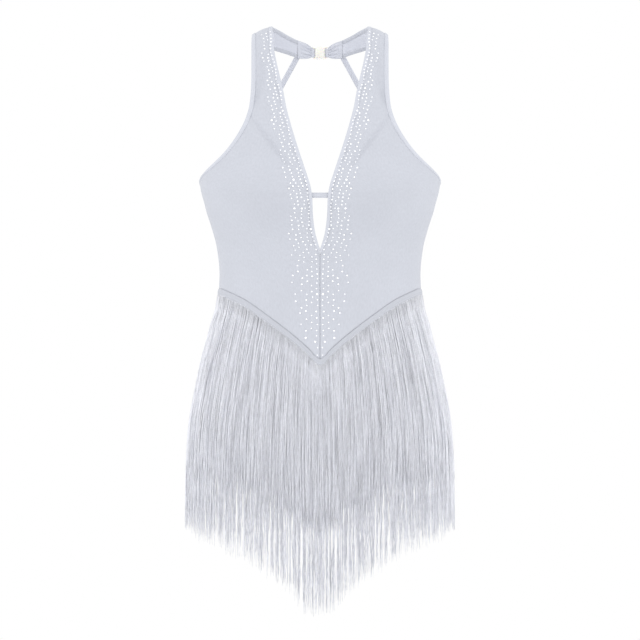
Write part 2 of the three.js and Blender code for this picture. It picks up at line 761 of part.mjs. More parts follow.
function fringeTier(tier) {
  const { facing, locks, sink, bends } = tier;
  const { root, end } = tierPlaces(tier);
  const limit = Math.PI / 2 - FRINGE_GAP;
  const turn = (angle) => (facing > 0 ? angle : Math.PI - angle);
  const face = (angle, level, deep) => figure(turn(angle), level, coverAt(level) - deep);
  const onTape = (angle, level, out) => figure(turn(angle), level, TAPE.off + out);
  const tapeRow = (v, out) =>
    Array.from({ length: TAPE.columns + 1 }, (_, j) => {
      const angle = lerp(-limit, limit, j / TAPE.columns);
      return onTape(angle, root(angle) - v * TAPE.tall, out);
    });
  const tape = between(
    [0, 1].map((v) => tapeRow(v, TAPE.thick)),
    [0, 1].map((v) => tapeRow(v, 0)),
  );
  const step = (2 * limit) / locks;
  const strands = Array.from({ length: locks }, (_, k) => {
    const angle = -limit + (k + 0.5) * step;
    const foot = root(angle) - TAPE.tall;
    const low = end(angle) + LOCK.uneven * uneven(k + 50 * sink + 3 * facing);
    const sway = uneven(angle * 31) * 0.08 * step;
    const sections = [
      { level: foot + 5, at: angle, share: LOCK.share, place: onTape, deep: [0.5, TAPE.thick - 0.4] },
      { level: foot - 1, at: angle, share: LOCK.share, place: onTape, deep: [0.5, TAPE.thick - 0.4] },
      ...bends.map(({ t, under }) => ({
        level: lerp(foot, low, t),
        at: angle + sway * t,
        share: t < 1 ? LOCK.share : LOCK.share * LOCK.tip,
        place: face,
        deep: [under + LOCK.deep, under],
      })),
    ];
    return lock(sections, step);
  });
  return joined([tape, ...strands]);
}

/** A three-sided lock of strands through its sections, flat towards the wearer. */
function lock(sections, step) {
  const points = sections.flatMap(({ level, at, share, place, deep }) => [
    place(at - (step * share) / 2, level, deep[0]),
    place(at + (step * share) / 2, level, deep[0]),
    place(at, level, deep[1]),
  ]);
  const index = [0, 1, 2];
  for (let i = 0; i + 1 < sections.length; i++) {
    for (let j = 0; j < 3; j++) {
      const [a, b] = [3 * i + j, 3 * i + ((j + 1) % 3)];
      index.push(a, a + 3, b + 3, a, b + 3, b);
    }
  }
  const last = points.length - 3;
  index.push(last, last + 2, last + 1);
  return facingOut(points, index);
}

// ---- the dress ----

const dress = new THREE.Group();

function add(name, geometry, finish) {
  const mesh = new THREE.Mesh(geometry, new THREE.MeshStandardMaterial(finish));
  mesh.name = name;
  dress.add(mesh);
}

/** Adds a piece of the wearer's left side, at +X, and its mirror on the right. */
function addPair(name, geometry, finish) {
  add(name + "_left", geometry, finish);
  add(name + "_right", mirrored(geometry), finish);
}

addPair("front", frontPanel(), KNIT);
addPair("neck_binding", neckBinding(), KNIT);
addPair("armhole_binding", armholeBinding(), KNIT);
addPair("neck_tab", tab(), KNIT);
addPair("back_strap", thinStrap(), KNIT);
add("clasp_hook", claspHook(), CREAM);
add("clasp_loop", claspLoop(), CREAM);
add("bust_bar", bustBar(), KNIT);
add("back", backPanel(), KNIT);
add("back_binding", backBinding(), KNIT);
add("brief_front", brief(1), KNIT);
add("brief_back", brief(-1), KNIT);
for (const tier of TIERS) {
  add(tier.name, fringeTier(tier), STRANDS);
}

export default dress;
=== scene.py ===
"""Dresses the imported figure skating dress: knit bodice, bindings, clasp, stones and fringe.

Lengths are millimetres in the frame's own axes (+Z up, the front faces -Y, the wearer's left is at
+X) until a mesh is written, which is in metres. Grids of points are arrays of rows and columns.
"""

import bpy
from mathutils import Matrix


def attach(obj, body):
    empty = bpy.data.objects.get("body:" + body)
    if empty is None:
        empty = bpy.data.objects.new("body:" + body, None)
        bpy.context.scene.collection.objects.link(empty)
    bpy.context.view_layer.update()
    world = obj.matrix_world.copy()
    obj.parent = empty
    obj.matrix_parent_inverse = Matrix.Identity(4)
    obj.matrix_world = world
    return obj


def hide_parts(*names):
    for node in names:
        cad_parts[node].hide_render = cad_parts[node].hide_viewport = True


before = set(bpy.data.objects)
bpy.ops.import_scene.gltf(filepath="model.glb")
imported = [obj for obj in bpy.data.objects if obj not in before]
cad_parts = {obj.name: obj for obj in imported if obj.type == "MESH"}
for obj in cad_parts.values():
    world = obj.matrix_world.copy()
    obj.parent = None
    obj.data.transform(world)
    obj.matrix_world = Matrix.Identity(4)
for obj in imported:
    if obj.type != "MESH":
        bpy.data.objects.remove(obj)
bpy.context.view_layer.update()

import logging
import math
from collections.abc import Sequence
from dataclasses import dataclass
from enum import Enum

import bpy
import numpy as np
from mathutils import Vector

MM = 0.001
WAVE_REPEAT = math.pi / 10  # how far apart a wave texture's bands lie at a scale of 1
BODY = "root"
Array = Grid = np.ndarray
Number = Array | float
Pair = tuple[Array, Array]
Span = tuple[float, float]
Piece = bpy.types.Object
Socket = bpy.types.NodeSocket
Material = bpy.types.Material
Generator = np.random.Generator

FRONT_CLOTHS = ("front_left_cloth", "front_right_cloth")

log = logging.getLogger("dress")


class Slot(Enum):
    """The record's material slots."""

    KNIT = "knit"
    BINDING = "binding"
    FRINGE = "fringe"
    CLASP = "clasp"


class Facing(Enum):
    """The side of the dress that a piece is on."""

    FRONT = 1
    BACK = -1


class Held(Enum):
    """How a piece of cloth is held."""

    HUNG = "hung"
    GATHERED = "gathered"
    FOLDED = "folded"
    STRETCHED = "stretched"


# ---- tables of the garment ----


UNDERARM = -199.0
KEYHOLE_END = -288.6
GAP = 0.3
HALF_GAP = GAP / 2
FAR = 99.0  # stands for any distance too great to matter

# Rows of (level, half width, depth before, depth behind, middle line) of the figure.
SECTIONS = [
    (0, 178, -6, 40, 6), (-3, 178, 4, 48, 6), (-8, 178, 13, 56, 6), (-16, 177, 23, 63, 6),
    (-28, 176, 33, 70, 6), (-45, 175, 43, 77, 6), (-65, 174, 52, 84, 5), (-85, 173, 61, 90, 5),
    (-105, 171, 70, 94, 4), (-130, 167, 82, 97, 3), (-160, 161, 95, 97, 2),
    (-185, 157.5, 104, 95, 1), (UNDERARM, 156.6, 107, 93, 0), (-212, 155, 108, 91, 0),
    (-225, 151.5, 106, 89, 0), (-238, 148.3, 103, 87, 0), (-264, 140, 96, 84, 0),
    (-290, 133.6, 91, 82, 0), (-322, 130.6, 88, 82, 0), (-341, 131.4, 88.5, 84.5, 0),
    (-355, 131.9, 89.8, 88, 0), (-380, 136.4, 93.6, 94.5, 0), (-406, 141, 97, 101, 0),
    (-432, 147.6, 100.2, 107, 0), (-458, 153.1, 103, 112, 0), (-484, 158.4, 105, 115.5, 0),
    (-510, 162.9, 106.4, 117.5, 0), (-536, 165.6, 107.4, 118.6, 0), (-600, 168.2, 108.6, 119.8, 0),
    (-700, 169.2, 109.4, 120.6, 0), (-760, 169.6, 109.8, 121, 0),
]

# Pairs of (level, how far the face of the upper fringe stands off the figure).
COVER = [(-330, 1.6), (-341, 2.2), (-355, 3.0), (-380, 4.6), (-406, 6.6), (-432, 7.4), (-760, 7.4)]

# Pairs of (level, distance from the middle) of a front's inner edge: strap, neckline and keyhole.
NECKLINE = [
    (0, 61.8), (-31, 59.4), (-56, 54), (-82, 48), (-108, 43), (-134, 35.8), (-160, 27.8),
    (-186, 19.2), (-212, 11.4), (-225, 9.8), (-238, 9.5), (-251, 8.6), (-264, 7), (-277, 3.9),
    (KEYHOLE_END, HALF_GAP),
]

# Pairs of (level, distance from the middle) of a front's outer edge: strap and armhole.
ARMHOLE = [
    (0, 88.4), (-16, 89), (-60, 89), (-95, 90.4), (-108, 93), (-121, 97), (-134, 103.4),
    (-147, 111.4), (-160, 121), (-173, 133.4), (-186, 147), (-194, 154), (UNDERARM, 156.6),
]

# Rows across a front by their level at the neckline and at the armhole or side seam.
FRONT_ROWS = [
    (0, 0), (-3, -3), (-8, -8), (-16, -16), (-28, -28), (-45, -45), (-65, -65), (-85, -84),
    (-105, -102), (-125, -119), (-143, -135), (-160, -150), (-176, -164), (-191, -176),
    (-205, -187), (-216, -195), (-227, UNDERARM), (-240, -216), (-254, -229), (-267, -242),
    (-279, -255), (KEYHOLE_END, -268), (-314, -282), (-334, -297), (-356, -311), (-381, -322),
    (-407, -332), (-432, -341),
]
ARMHOLE_ROW = [side for _, side in FRONT_ROWS].index(UNDERARM)
KEYHOLE_ROW = [neck for neck, _ in FRONT_ROWS].index(KEYHOLE_END)

# The strap behind the shoulder, from its top to its seam: its neck edge and its lower edge.
BAND = [
    ((60.2, 20, -0.7), (85, 24, -18)),
    ((56, 33, -2.6), (76.5, 39, -23.2)),
    ((50, 44, -5.5), (65, 51, -28)),
    ((43.4, 52, -9.5), (53, 60, -31.8)),
    ((36.6, 57.6, -13), (41, 66.6, -35.4)),
    ((29.9, 61.5, -16.3), (29.9, 71, -39.3)),
]
BAND_FROM_SEAM = [(np.array(neck, float), np.array(low, float)) for neck, low in reversed(BAND)]

# The tab from the strap's seam to the clasp: its upper and its lower edge.
TAB = [
    ((29.5, 61.7, -16.5), (29.5, 71.2, -39.4)),
    ((24, 64.1, -18.6), (24, 73.1, -40.3)),
    ((18.5, 65.8, -20.7), (18.5, 74.2, -40.4)),
    ((13.5, 67.4, -23.6), (13.5, 74.8, -39.4)),
    ((10.7, 68.3, -26.1), (10.7, 74.3, -38.1)),
]

# Pairs of (distance from the middle, level) of the front's waist seam.
FRONT_SEAM = [
    (0, -432), (5, -429.5), (12, -421), (38, -398), (77, -370), (103, -354), (132, -341),
]

# The leg opening: the level, and where the brief's edge lies in front and behind.
LEG = [
    (-470, 158, 158), (-490, 141, 155), (-510, 118, 143), (-530, 93, 124), (-550, 69, 98),
    (-565, 53, 74), (-578, 41, 51), (-590, 34, 34),
]
BRIEF_SIDE_LEVELS = [-341, -357, -382, -415, -447]

# Pairs of (distance from the middle, level) of the front fringe's hem.
HEM = [
    (0, -760), (15, -757), (27, -745), (37, -733), (49, -720), (71, -705), (112, -680),
    (142, -667), (178, -660),
]


class Column:
    """A smooth reading of a table's column, with no overshoot between its rows."""

    def __init__(self, places: Sequence[float], values: Sequence[float]) -> None:
        """Keeps the rows in order of place.

        Args:
            places: where each row stands.
            values: what the column says there.
        """
        order = np.argsort(places)
        self.places = np.asarray(places, float)[order]
        self.values = np.asarray(values, float)[order]
        slope = np.diff(self.values) / np.diff(self.places)
        before = np.concatenate([slope[:1], slope])
        after = np.concatenate([slope, slope[-1:]])
        turns = before * after <= 0
        total = np.where(turns, 1.0, before + after)
        self.tangent = np.where(turns, 0.0, 2 * before * after / total)

    def __call__(self, at: Number) -> Array:
        """Reads the column at one place or many.

        Args:
            at: the places, held within the table.

        Returns:
            The values there.
        """
        at = np.clip(at, self.places[0], self.places[-1])
        i = np.clip(np.searchsorted(self.places, at, side="right") - 1, 0, len(self.places) - 2)
        width = self.places[i + 1] - self.places[i]
        t = (at - self.places[i]) / width
        return (
            (2 * t**3 - 3 * t**2 + 1) * self.values[i]
            + (t**3 - 2 * t**2 + t) * width * self.tangent[i]
            + (3 * t**2 - 2 * t**3) * self.values[i + 1]
            + (t**3 - t**2) * width * self.tangent[i + 1]
        )


def column(rows: Sequence[Sequence[float]], value: int = 1, place: int = 0) -> Column:
    """A smooth column of a table of tuples, by the numbers of what is read and of where."""
    return Column([row[place] for row in rows], [row[value] for row in rows])


# ---- the figure that the dress is filled out on ----


@dataclass(frozen=True)
class Figure:
    """The general figure: sections of a rounded oval with a soft bust and sloping shoulders."""

    roundness: float = 2.2
    bust_across: float = 72
    bust_level: float = -204
    bust_wide: float = 44
    bust_tall: float = 42
    bust_rise: float = 14
    seam_read_at: float = -380
    seam_bend: float = 1.5
    shoulder_from: float = 61.8
    shoulder_bend: float = 0.0152
    shoulder_fade: float = 70
    half: Column = column(SECTIONS, 1)
    front: Column = column(SECTIONS, 2)
    back: Column = column(SECTIONS, 3)
    middle: Column = column(SECTIONS, 4)

    def angle_at(self, across: Number, level: Number) -> Array:
        """The angle from the middle front, up to a quarter turn, where a section is that wide."""
        share = np.clip(np.abs(across) / self.half(level), 0, 1)
        return np.sign(across) * np.arcsin(share ** (self.roundness / 2))

    def point(self, angle: Number, level: Number, out: Number = 0.0, tuck: Number = 1.0) -> Grid:
        """Points of the figure.

        Args:
            angle: radians round from the middle front.
            level: height of the section.
            out: distance off the figure.
            tuck: how much of the section's depth is left.

        Returns:
            The points, with x, y and z in the last axis.
        """
        angle, level, out, tuck = np.broadcast_arrays(
            *(np.asarray(a, float) for a in (angle, level, out, tuck))
        )
        s, c = np.sin(angle), np.cos(angle)
        middle = self.middle(level)
        x = (self.half(level) + out) * np.sign(s) * np.abs(s) ** (2 / self.roundness)
        reach = np.abs(c) ** (2 / self.roundness)
        depth = np.where(
            c >= 0, -(self.front(level) + middle + out), self.back(level) - middle + out
        )
        swell = self.bust_rise * np.exp(
            -(((np.abs(x) - self.bust_across) / self.bust_wide) ** 2)
            - ((level - self.bust_level) / self.bust_tall) ** 2
        )
        slope = np.maximum(0, np.abs(x) - self.shoulder_from) ** 2 * self.shoulder_bend
        fade = np.maximum(0, 1 + level / self.shoulder_fade) ** 2
        y = middle + depth * reach * tuck - np.where(c > 0, swell, 0)
        return np.stack([x, y, level - slope * fade], axis=-1)

    def moved_in(self, edge: Pair, toward: Pair, by: Number) -> Pair:
        """An edge moved across the figure at right angles to itself.

        Args:
            edge: the edge's angles and levels.
            toward: the angles and levels of the side to move to.
            by: the distance to move.

        Returns:
            The new angles and levels.
        """
        angle, level = edge
        step = 1e-3
        here = self.point(angle, level)
        turn = (self.point(angle + step, level) - here) / step
        fall = (self.point(angle, level - 0.05) - here) / -0.05
        ends = np.pad(here, ((1, 1), (0, 0)), mode="edge")
        along = unit(ends[2:] - ends[:-2])
        off = self.point(*toward) - here
        across = unit(off - dot(off, along)[..., None] * along) * np.reshape(by, (-1, 1))
        tt, tf, ff = dot(turn, turn), dot(turn, fall), dot(fall, fall)
        at, af = dot(across, turn), dot(across, fall)
        det = tt * ff - tf * tf
        return angle + (at * ff - af * tf) / det, level + (af * tt - at * tf) / det

    def front_seam(self, angle: Number) -> Array:
        """The level of the waist seam's V at an angle."""
        return FRONT_SEAM_AT(np.abs(self.point(angle, self.seam_read_at)[..., 0]))

    def back_seam(self, angle: Number) -> Array:
        """The level of the waist seam behind at an angle."""
        share = np.abs(np.sin(angle)) ** self.seam_bend
        return BACK_SEAM_MIDDLE + (BACK_SEAM_SIDE - BACK_SEAM_MIDDLE) * share


def dot(a: Array, b: Array) -> Array:
    """The dot product along the last axis."""
    return np.sum(a * b, axis=-1)


def unit(a: Array) -> Array:
    """The vectors of the last axis, one long."""
    return a / np.maximum(np.linalg.norm(a, axis=-1, keepdims=True), 1e-9)


def blend(a: Number, b: Number, share: Number) -> Array:
    """The value a share of the way from one to another."""
    return a + (b - a) * share


def smoothstep(x: Number, low: float, high: float) -> Array:
    """A soft step from 0 at low to 1 at high."""
    t = np.clip((np.asarray(x, float) - low) / (high - low), 0, 1)
    return t * t * (3 - 2 * t)


BACK_SEAM_SIDE, BACK_SEAM_MIDDLE = -341.0, -352.0
FRONT_SEAM_AT = column(FRONT_SEAM)
NECKLINE_AT = column(NECKLINE)
ARMHOLE_AT = column(ARMHOLE)
COVER_AT = column(COVER)
HEM_AT = column(HEM)
FIGURE = Figure()
SIDE_DEPTH = 90  # about the figure's depth before and behind, which turns a gap into an angle
SIDE_ANGLE = math.pi / 2 - HALF_GAP / SIDE_DEPTH
SPINE = (-500, -60)  # the stretch of the middle line that a grid's outer side faces away from


# ---- grids and meshes ----


def grid_normals(grid: Grid) -> Grid:
    """The unit normals of a grid, all to the side that faces away from the figure."""
    normal = unit(np.cross(np.gradient(grid, axis=0), np.gradient(grid, axis=1)))
    inside = np.zeros_like(grid)
    inside[..., 2] = np.clip(grid[..., 2], *SPINE)
    return -normal if np.sum(normal * (grid - inside)) < 0 else normal


def refined(grid: Grid, steps: int) -> Grid:
    """A grid with more rows, on smooth curves through its own.

    Args:
        grid: the points.
        steps: how many new steps each old step becomes.

    Returns:
        The finer grid.
    """
    length = np.linalg.norm(np.diff(grid, axis=0), axis=-1).mean(axis=1)
    place = np.concatenate([[0], np.cumsum(length)])
    at = np.interp(np.arange((len(place) - 1) * steps + 1) / steps, np.arange(len(place)), place)
    flat = grid.reshape(len(grid), -1)
    found = np.stack([Column(place, flat[:, k])(at) for k in range(flat.shape[1])], axis=1)
    return found.reshape(len(at), *grid.shape[1:])


def packed_shares(count: int, edge: Sequence[float] = (0.004, 0.009, 0.016, 0.027)) -> Array:
    """Shares from 0 to 1 that are closer together at both ends.

    Args:
        count: how many even steps there are between the close ones.
        edge: the close ones at one end.

    Returns:
        The shares in order.
    """
    near = np.asarray(edge)
    middle = np.linspace(1.7 * near[-1], 1 - 1.7 * near[-1], count + 1)
    return np.concatenate([[0], near, middle, 1 - near[::-1], [1]])


def distances(grid: Grid) -> Pair:
    """How far each point lies along its row and down its column.

    Args:
        grid: the points.

    Returns:
        Distance along the row from the first column, and down from the first row.
    """
    over = np.linalg.norm(np.diff(grid, axis=1), axis=-1)
    down = np.linalg.norm(np.diff(grid, axis=0), axis=-1)
    across = np.concatenate([np.zeros((len(grid), 1)), np.cumsum(over, axis=1)], axis=1)
    along = np.concatenate([np.zeros((1, grid.shape[1])), np.cumsum(down, axis=0)], axis=0)
    return across, along


def run_along(line: Array) -> Array:
    """How far each point of a line lies from its first, along the line."""
    return np.concatenate([[0], np.cumsum(np.linalg.norm(np.diff(line, axis=0), axis=1))])


def length_of(line: Array) -> float:
    """The length of a line of points."""
    return float(np.linalg.norm(np.diff(line, axis=0), axis=1).sum())


def quads(rows: int, sides: int, closed: bool = True) -> tuple[Array, Array, Array]:
    """The four-cornered faces of a grid of points.

    Args:
        rows: how many rows it has.
        sides: how many points are in a row.
        closed: whether the last point of a row joins its first.

    Returns:
        The numbers of each face's corners, its row and its place in the row.
    """
    i, j = np.meshgrid(np.arange(rows - 1), np.arange(sides - (not closed)), indexing="ij")
    i, j = i.ravel(), j.ravel()
    right = (j + 1) % sides
    corners = ((i, j), (i, right), (i + 1, right), (i + 1, j))
    return np.stack([a * sides + b for a, b in corners], axis=1), i, j


def in_metres(parts: Sequence[Array]) -> Array:
    """Lengths in metres, all in one row."""
    return (np.concatenate(parts) * MM).astype(np.float32).ravel()


class Draft:
    """Points and faces gathered for one mesh, with a place on the cloth and a tone for each."""

    def __init__(self) -> None:
        """Starts with nothing."""
        self.points: list[Array] = []
        self.faces: list[Array] = []
        self.uvs: list[Array] = []
        self.tones: list[Array] = []
        self.finishes: list[Array] = []
        self.sharp: list[Array] = []
        self.count = 0

    def add(
        self, points: Array, faces: Array, uvs: Array, tone: Number = 0.5, finish: int = 0
    ) -> None:
        """Adds points and faces that all have the same number of corners.

        Args:
            points: the points, in millimetres.
            faces: the corners' numbers within those points.
            uvs: a place on the cloth for each corner, in millimetres.
            tone: light or dark, from 0 to 1, of each point or of all.
            finish: the number of the finish on these faces.
        """
        flat = points.reshape(-1, 3)
        self.points.append(flat)
        self.faces.append(faces + self.count)
        self.uvs.append(uvs.reshape(-1, 2))
        self.tones.append(np.broadcast_to(np.asarray(tone, float).reshape(-1), (len(flat),)))
        self.finishes.append(np.full(len(faces), finish))
        self.sharp.append(np.zeros(len(faces), bool))
        self.count += len(flat)

    def cap(self, faces: Array, finish: int = 0) -> None:
        """Adds flat faces on points already there, numbered from the draft's first."""
        self.faces.append(faces)
        self.uvs.append(np.zeros((faces.size, 2)))
        self.finishes.append(np.full(len(faces), finish))
        self.sharp.append(np.ones(len(faces), bool))

    def add_grid(self, grid: Grid, uv: Array, closed: bool = False) -> None:
        """Adds the faces of a grid.

        Args:
            grid: the points.
            uv: a place on the cloth for each, with one more column where it closes on itself.
            closed: whether the last column joins the first.
        """
        faces, i, j = quads(*grid.shape[:2], closed)
        places = [(i, j), (i, j + 1), (i + 1, j + 1), (i + 1, j)]
        self.add(grid, faces, np.stack([uv[a, b] for a, b in places], axis=1))

    def add_tube(self, rings: Grid) -> None:
        """Adds a closed body swept through its rings, with a flat cap on each end.

        Args:
            rings: a row of points for each ring, in order round it.
        """
        count, sides = rings.shape[:2]
        _, along = distances(rings)
        turn = np.linalg.norm(rings[:, (np.arange(sides) + 1) % sides] - rings, axis=-1)
        around = np.concatenate([np.zeros((count, 1)), np.cumsum(turn, axis=1)], axis=1)
        uv = np.stack(np.broadcast_arrays(around, along[:, :1]), axis=-1)
        start = self.count
        self.add_grid(rings, uv, closed=True)
        self.add_ends(start, count, sides, np.zeros((1, 1), int))

    def add_ends(self, start: int, rows: int, sides: int, base: Array) -> None:
        """Caps both ends of swept bodies that begin at start and at each base after it."""
        for ring, order in ((0, 1), (rows - 1, -1)):
            self.cap((start + ring * sides + np.arange(sides))[::-order][None] + base)

    def add_bodies(self, rings: Array, uvs: Array, tone: Number = 0.5) -> None:
        """Adds many swept bodies of one kind, with a flat cap on each end.

        Args:
            rings: the points by body, by ring and by place round the ring.
            uvs: a place on the cloth for each corner of each face, of one body or of all.
            tone: light or dark, of all or of each point.
        """
        count, rows, sides = rings.shape[:3]
        faces, _, _ = quads(rows, sides)
        base = np.arange(count)[:, None] * rows * sides
        start = self.count
        uvs = np.broadcast_to(uvs, (count, *faces.shape, 2))
        self.add(rings, (faces[None] + base[..., None]).reshape(-1, 4), uvs, tone)
        self.add_ends(start, rows, sides, base)

    def mirrored(self) -> "Draft":
        """The same draft on the other side of the middle."""
        copy = Draft()
        copy.points = [p * [-1, 1, 1] for p in self.points]
        copy.faces = [f[:, ::-1] for f in self.faces]
        copy.uvs = [
            uv.reshape(*f.shape, 2)[:, ::-1].reshape(-1, 2) for uv, f in zip(self.uvs, self.faces)
        ]
        copy.tones, copy.finishes, copy.sharp = self.tones, self.finishes, self.sharp
        copy.count = self.count
        return copy

    def build(
        self, name: str, finishes: Sequence["Finish"], wall: float = 0.0, smooth: bool = True
    ) -> Piece:
        """Writes the mesh as an object that rides on the dress.

        Args:
            name: the object's name.
            finishes: what its faces are finished with.
            wall: thickness to give to an open sheet, inward from its outer face.
            smooth: whether its faces are shaded as one surface.

        Returns:
            The object.
        """
        corners = np.concatenate([f.ravel() for f in self.faces])
        sizes = np.concatenate([np.full(len(f), f.shape[1]) for f in self.faces])
        mesh = bpy.data.meshes.new(name)
        mesh.vertices.add(self.count)
        mesh.vertices.foreach_set("co", in_metres(self.points))
        mesh.loops.add(len(corners))
        mesh.loops.foreach_set("vertex_index", corners.astype(np.int32))
        mesh.polygons.add(len(sizes))
        starts = np.concatenate([[0], np.cumsum(sizes)[:-1]])
        mesh.polygons.foreach_set("loop_start", starts.astype(np.int32))
        mesh.polygons.foreach_set("material_index", np.concatenate(self.finishes).astype(np.int32))
        mesh.update(calc_edges=True)
        mesh.uv_layers.new(name="cloth").uv.foreach_set("vector", in_metres(self.uvs))
        tone = mesh.attributes.new("tone", "FLOAT", "POINT")
        tone.data.foreach_set("value", np.concatenate(self.tones).astype(np.float32))
        flat = np.concatenate(self.sharp) if smooth else np.ones(len(sizes), bool)
        mesh.attributes.new("sharp_face", "BOOLEAN", "FACE").data.foreach_set("value", flat)
        mesh.validate()
        piece = bpy.data.objects.new(name, mesh)
        bpy.context.scene.collection.objects.link(piece)
        for finish in finishes:
            mesh.materials.append(finish.material())
        if wall:
            solidify = piece.modifiers.new("wall", "SOLIDIFY")
            solidify.thickness = wall * MM
            solidify.offset = -1
            # The inner shell takes the last finish; on the knit panels that is the lightened copy
            # of the knit, painted light on the inner faces.
            solidify.material_offset = len(finishes) - 1
        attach(piece, BODY)
        return piece


def swept(pair: Grid, profile: Sequence[Span]) -> Grid:
    """Rings over a strip, from pairs of (share of the way across it, height)."""
    edge, seam = pair[:, 0], pair[:, 1]
    normal = grid_normals(pair)[:, 0]
    return np.stack([edge + (seam - edge) * u + normal * h for u, h in profile], axis=1)


def both_sides(*drafts: Draft) -> list[tuple]:
    """The name of each side with its drafts, which are drawn for the left."""
    return [("left", *drafts), ("right", *(draft.mirrored() for draft in drafts))]


def tube_draft(rings: Grid) -> Draft:
    """A draft of one closed body swept through its rings."""
    draft = Draft()
    draft.add_tube(rings)
    return draft


def sheet_draft(grid: Grid) -> Draft:
    """A draft of one open sheet whose faces look away from the figure."""
    across, along = distances(grid)
    centred = across - across[:, -1:] / 2
    uv = np.stack([centred, np.broadcast_to(along.mean(axis=1, keepdims=True), across.shape)], -1)
    faces_out = np.cross(grid[1, 0] - grid[0, 0], grid[0, 1] - grid[0, 0])
    if np.dot(faces_out, grid_normals(grid)[0, 0]) > 0:
        grid, uv = grid[:, ::-1], uv[:, ::-1]
    draft = Draft()
    draft.add_grid(grid, uv)
    return draft


# ---- finishes ----


class Shader:
    """A material's nodes, made one by one and joined as they are made."""

    def __init__(self, name: str) -> None:
        """Starts a material of that name with its surface shader."""
        self.material = bpy.data.materials.new(name)
        self.material.use_nodes = True
        self.nodes = self.material.node_tree.nodes
        self.links = self.material.node_tree.links
        self.surface = self.nodes["Principled BSDF"]

    def node(self, kind: str, settings: dict | None = None, **inputs: object) -> bpy.types.Node:
        """Makes a node.

        Args:
            kind: the node's type without its prefix.
            settings: its own properties.
            inputs: its sockets by name, underscores for spaces: a number, a colour or an output.

        Returns:
            The node.
        """
        made = self.nodes.new("ShaderNode" + kind)
        for key, value in (settings or {}).items():
            setattr(made, key, value)
        for key, value in inputs.items():
            name = key.replace("_", " ")
            socket = made.inputs[int(name[1:])] if name[1:].isdigit() else made.inputs[name]
            self.join(value, socket)
        return made

    def join(self, value: object, socket: Socket) -> None:
        """Joins an output to a socket, or sets the socket to a plain value."""
        if isinstance(value, Socket):
            self.links.new(value, socket)
        else:
            socket.default_value = value

    def product(self, a: Socket, b: Socket | float) -> Socket:
        """One number times another."""
        return self.node("Math", {"operation": "MULTIPLY"}, i0=a, i1=b).outputs[0]

    def place(self) -> Socket:
        """The place on the cloth."""
        return self.node("UVMap", {"uv_map": "cloth"}).outputs[0]

    def tone(self) -> Socket:
        """The tone of a strand or a facet, from 0 to 1."""
        return self.node("Attribute", {"attribute_name": "tone"}).outputs["Fac"]

    def noise(self, place: Socket, scale: float, detail: float) -> Socket:
        """Soft noise round a half, at a scale a metre."""
        node = self.node("TexNoise", Vector=place, Scale=scale, Detail=detail)
        return node.outputs["Fac"]

    def waves(self, place: Socket, direction: str, pitch: float, **inputs: float) -> Socket:
        """Bands across a direction, one for each pitch in millimetres."""
        settings = {"bands_direction": direction}
        scale = WAVE_REPEAT / (pitch * MM)
        return self.node("TexWave", settings, Vector=place, Scale=scale, **inputs).outputs["Fac"]

    def scaled(
        self, value: Socket, low: float, high: float, start: float = 0, end: float = 1
    ) -> Socket:
        """A number that runs from start to end, turned into one from low to high."""
        ends = {"From_Min": start, "From_Max": end, "To_Min": low, "To_Max": high}
        return self.node("MapRange", Value=value, **ends).outputs[0]

    def bump(self, height: Socket, strength: float, distance: float, **inputs: Socket) -> Socket:
        """Normals that follow a height."""
        reach = {"Strength": strength, "Distance": distance, "Height": height}
        return self.node("Bump", **reach, **inputs).outputs[0]

    def tinted(self, base: Sequence[float], factor: Socket) -> Socket:
        """A colour scaled by a factor, which is 1 where the colour stays."""
        settings = {"operation": "SCALE"}
        return self.node("VectorMath", settings, i0=tuple(base), Scale=factor).outputs[0]

    def set(self, **inputs: object) -> None:
        """Sets or joins sockets of the surface shader, by name with underscores for spaces."""
        for key, value in inputs.items():
            self.join(value, self.surface.inputs[key.replace("_", " ")])


@dataclass(frozen=True)
class Finish:
    """What every finish has: a name and a base colour."""

    name: str
    color: tuple[float, float, float]

    def material(self) -> Material:
        """The finish's material, made the first time it is asked for."""
        found = bpy.data.materials.get(self.name)
        return found if found else self.make()

    def make(self) -> Material:
        """Makes the material."""
        raise NotImplementedError

    def rgba(self) -> tuple[float, float, float, float]:
        """The base colour with full opacity."""
        return (*self.color, 1.0)


@dataclass(frozen=True)
class KnitFinish(Finish):
    """Matte two-way stretch knit: fine wales and courses, slightly mottled."""

    wale: float = 0.9
    course: float = 0.75
    mottle: float = 0.05
    roughness: float = 0.88

    def make(self) -> Material:
        """Makes the material from wave and noise nodes on the cloth's own places."""
        shader = Shader(self.name)
        place = shader.place()
        loose = {"Distortion": 1.2, "Detail": 1.0, "Detail_Scale": 2.0}
        wales, courses = (
            shader.waves(place, direction, pitch, **loose)
            for direction, pitch in (("X", self.wale), ("Y", self.course))
        )
        knit = shader.product(wales, courses)
        stretch = shader.node("Mapping", Vector=place, Scale=(420.0, 240.0, 1.0)).outputs[0]
        mottle = shader.noise(stretch, 1.0, 3.0)
        broad = shader.noise(place, 16.0, 2.0)
        factor = shader.scaled(mottle, 1 - self.mottle, 1 + self.mottle, 0.25, 0.75)
        drift = shader.scaled(broad, 0.985, 1.015, 0.3, 0.7)
        stitch = shader.scaled(knit, 0.965, 1.02)
        factor = shader.product(shader.product(factor, drift), stitch)
        bump = shader.bump(knit, 0.35, 0.00022)
        shader.set(
            Base_Color=shader.tinted(self.color, factor),
            Normal=shader.bump(mottle, 0.25, 0.0004, Normal=bump),
            Roughness=self.roughness,
            Specular_IOR_Level=0.2,
            Sheen_Weight=0.18,
            Sheen_Roughness=0.5,
        )
        return shader.material


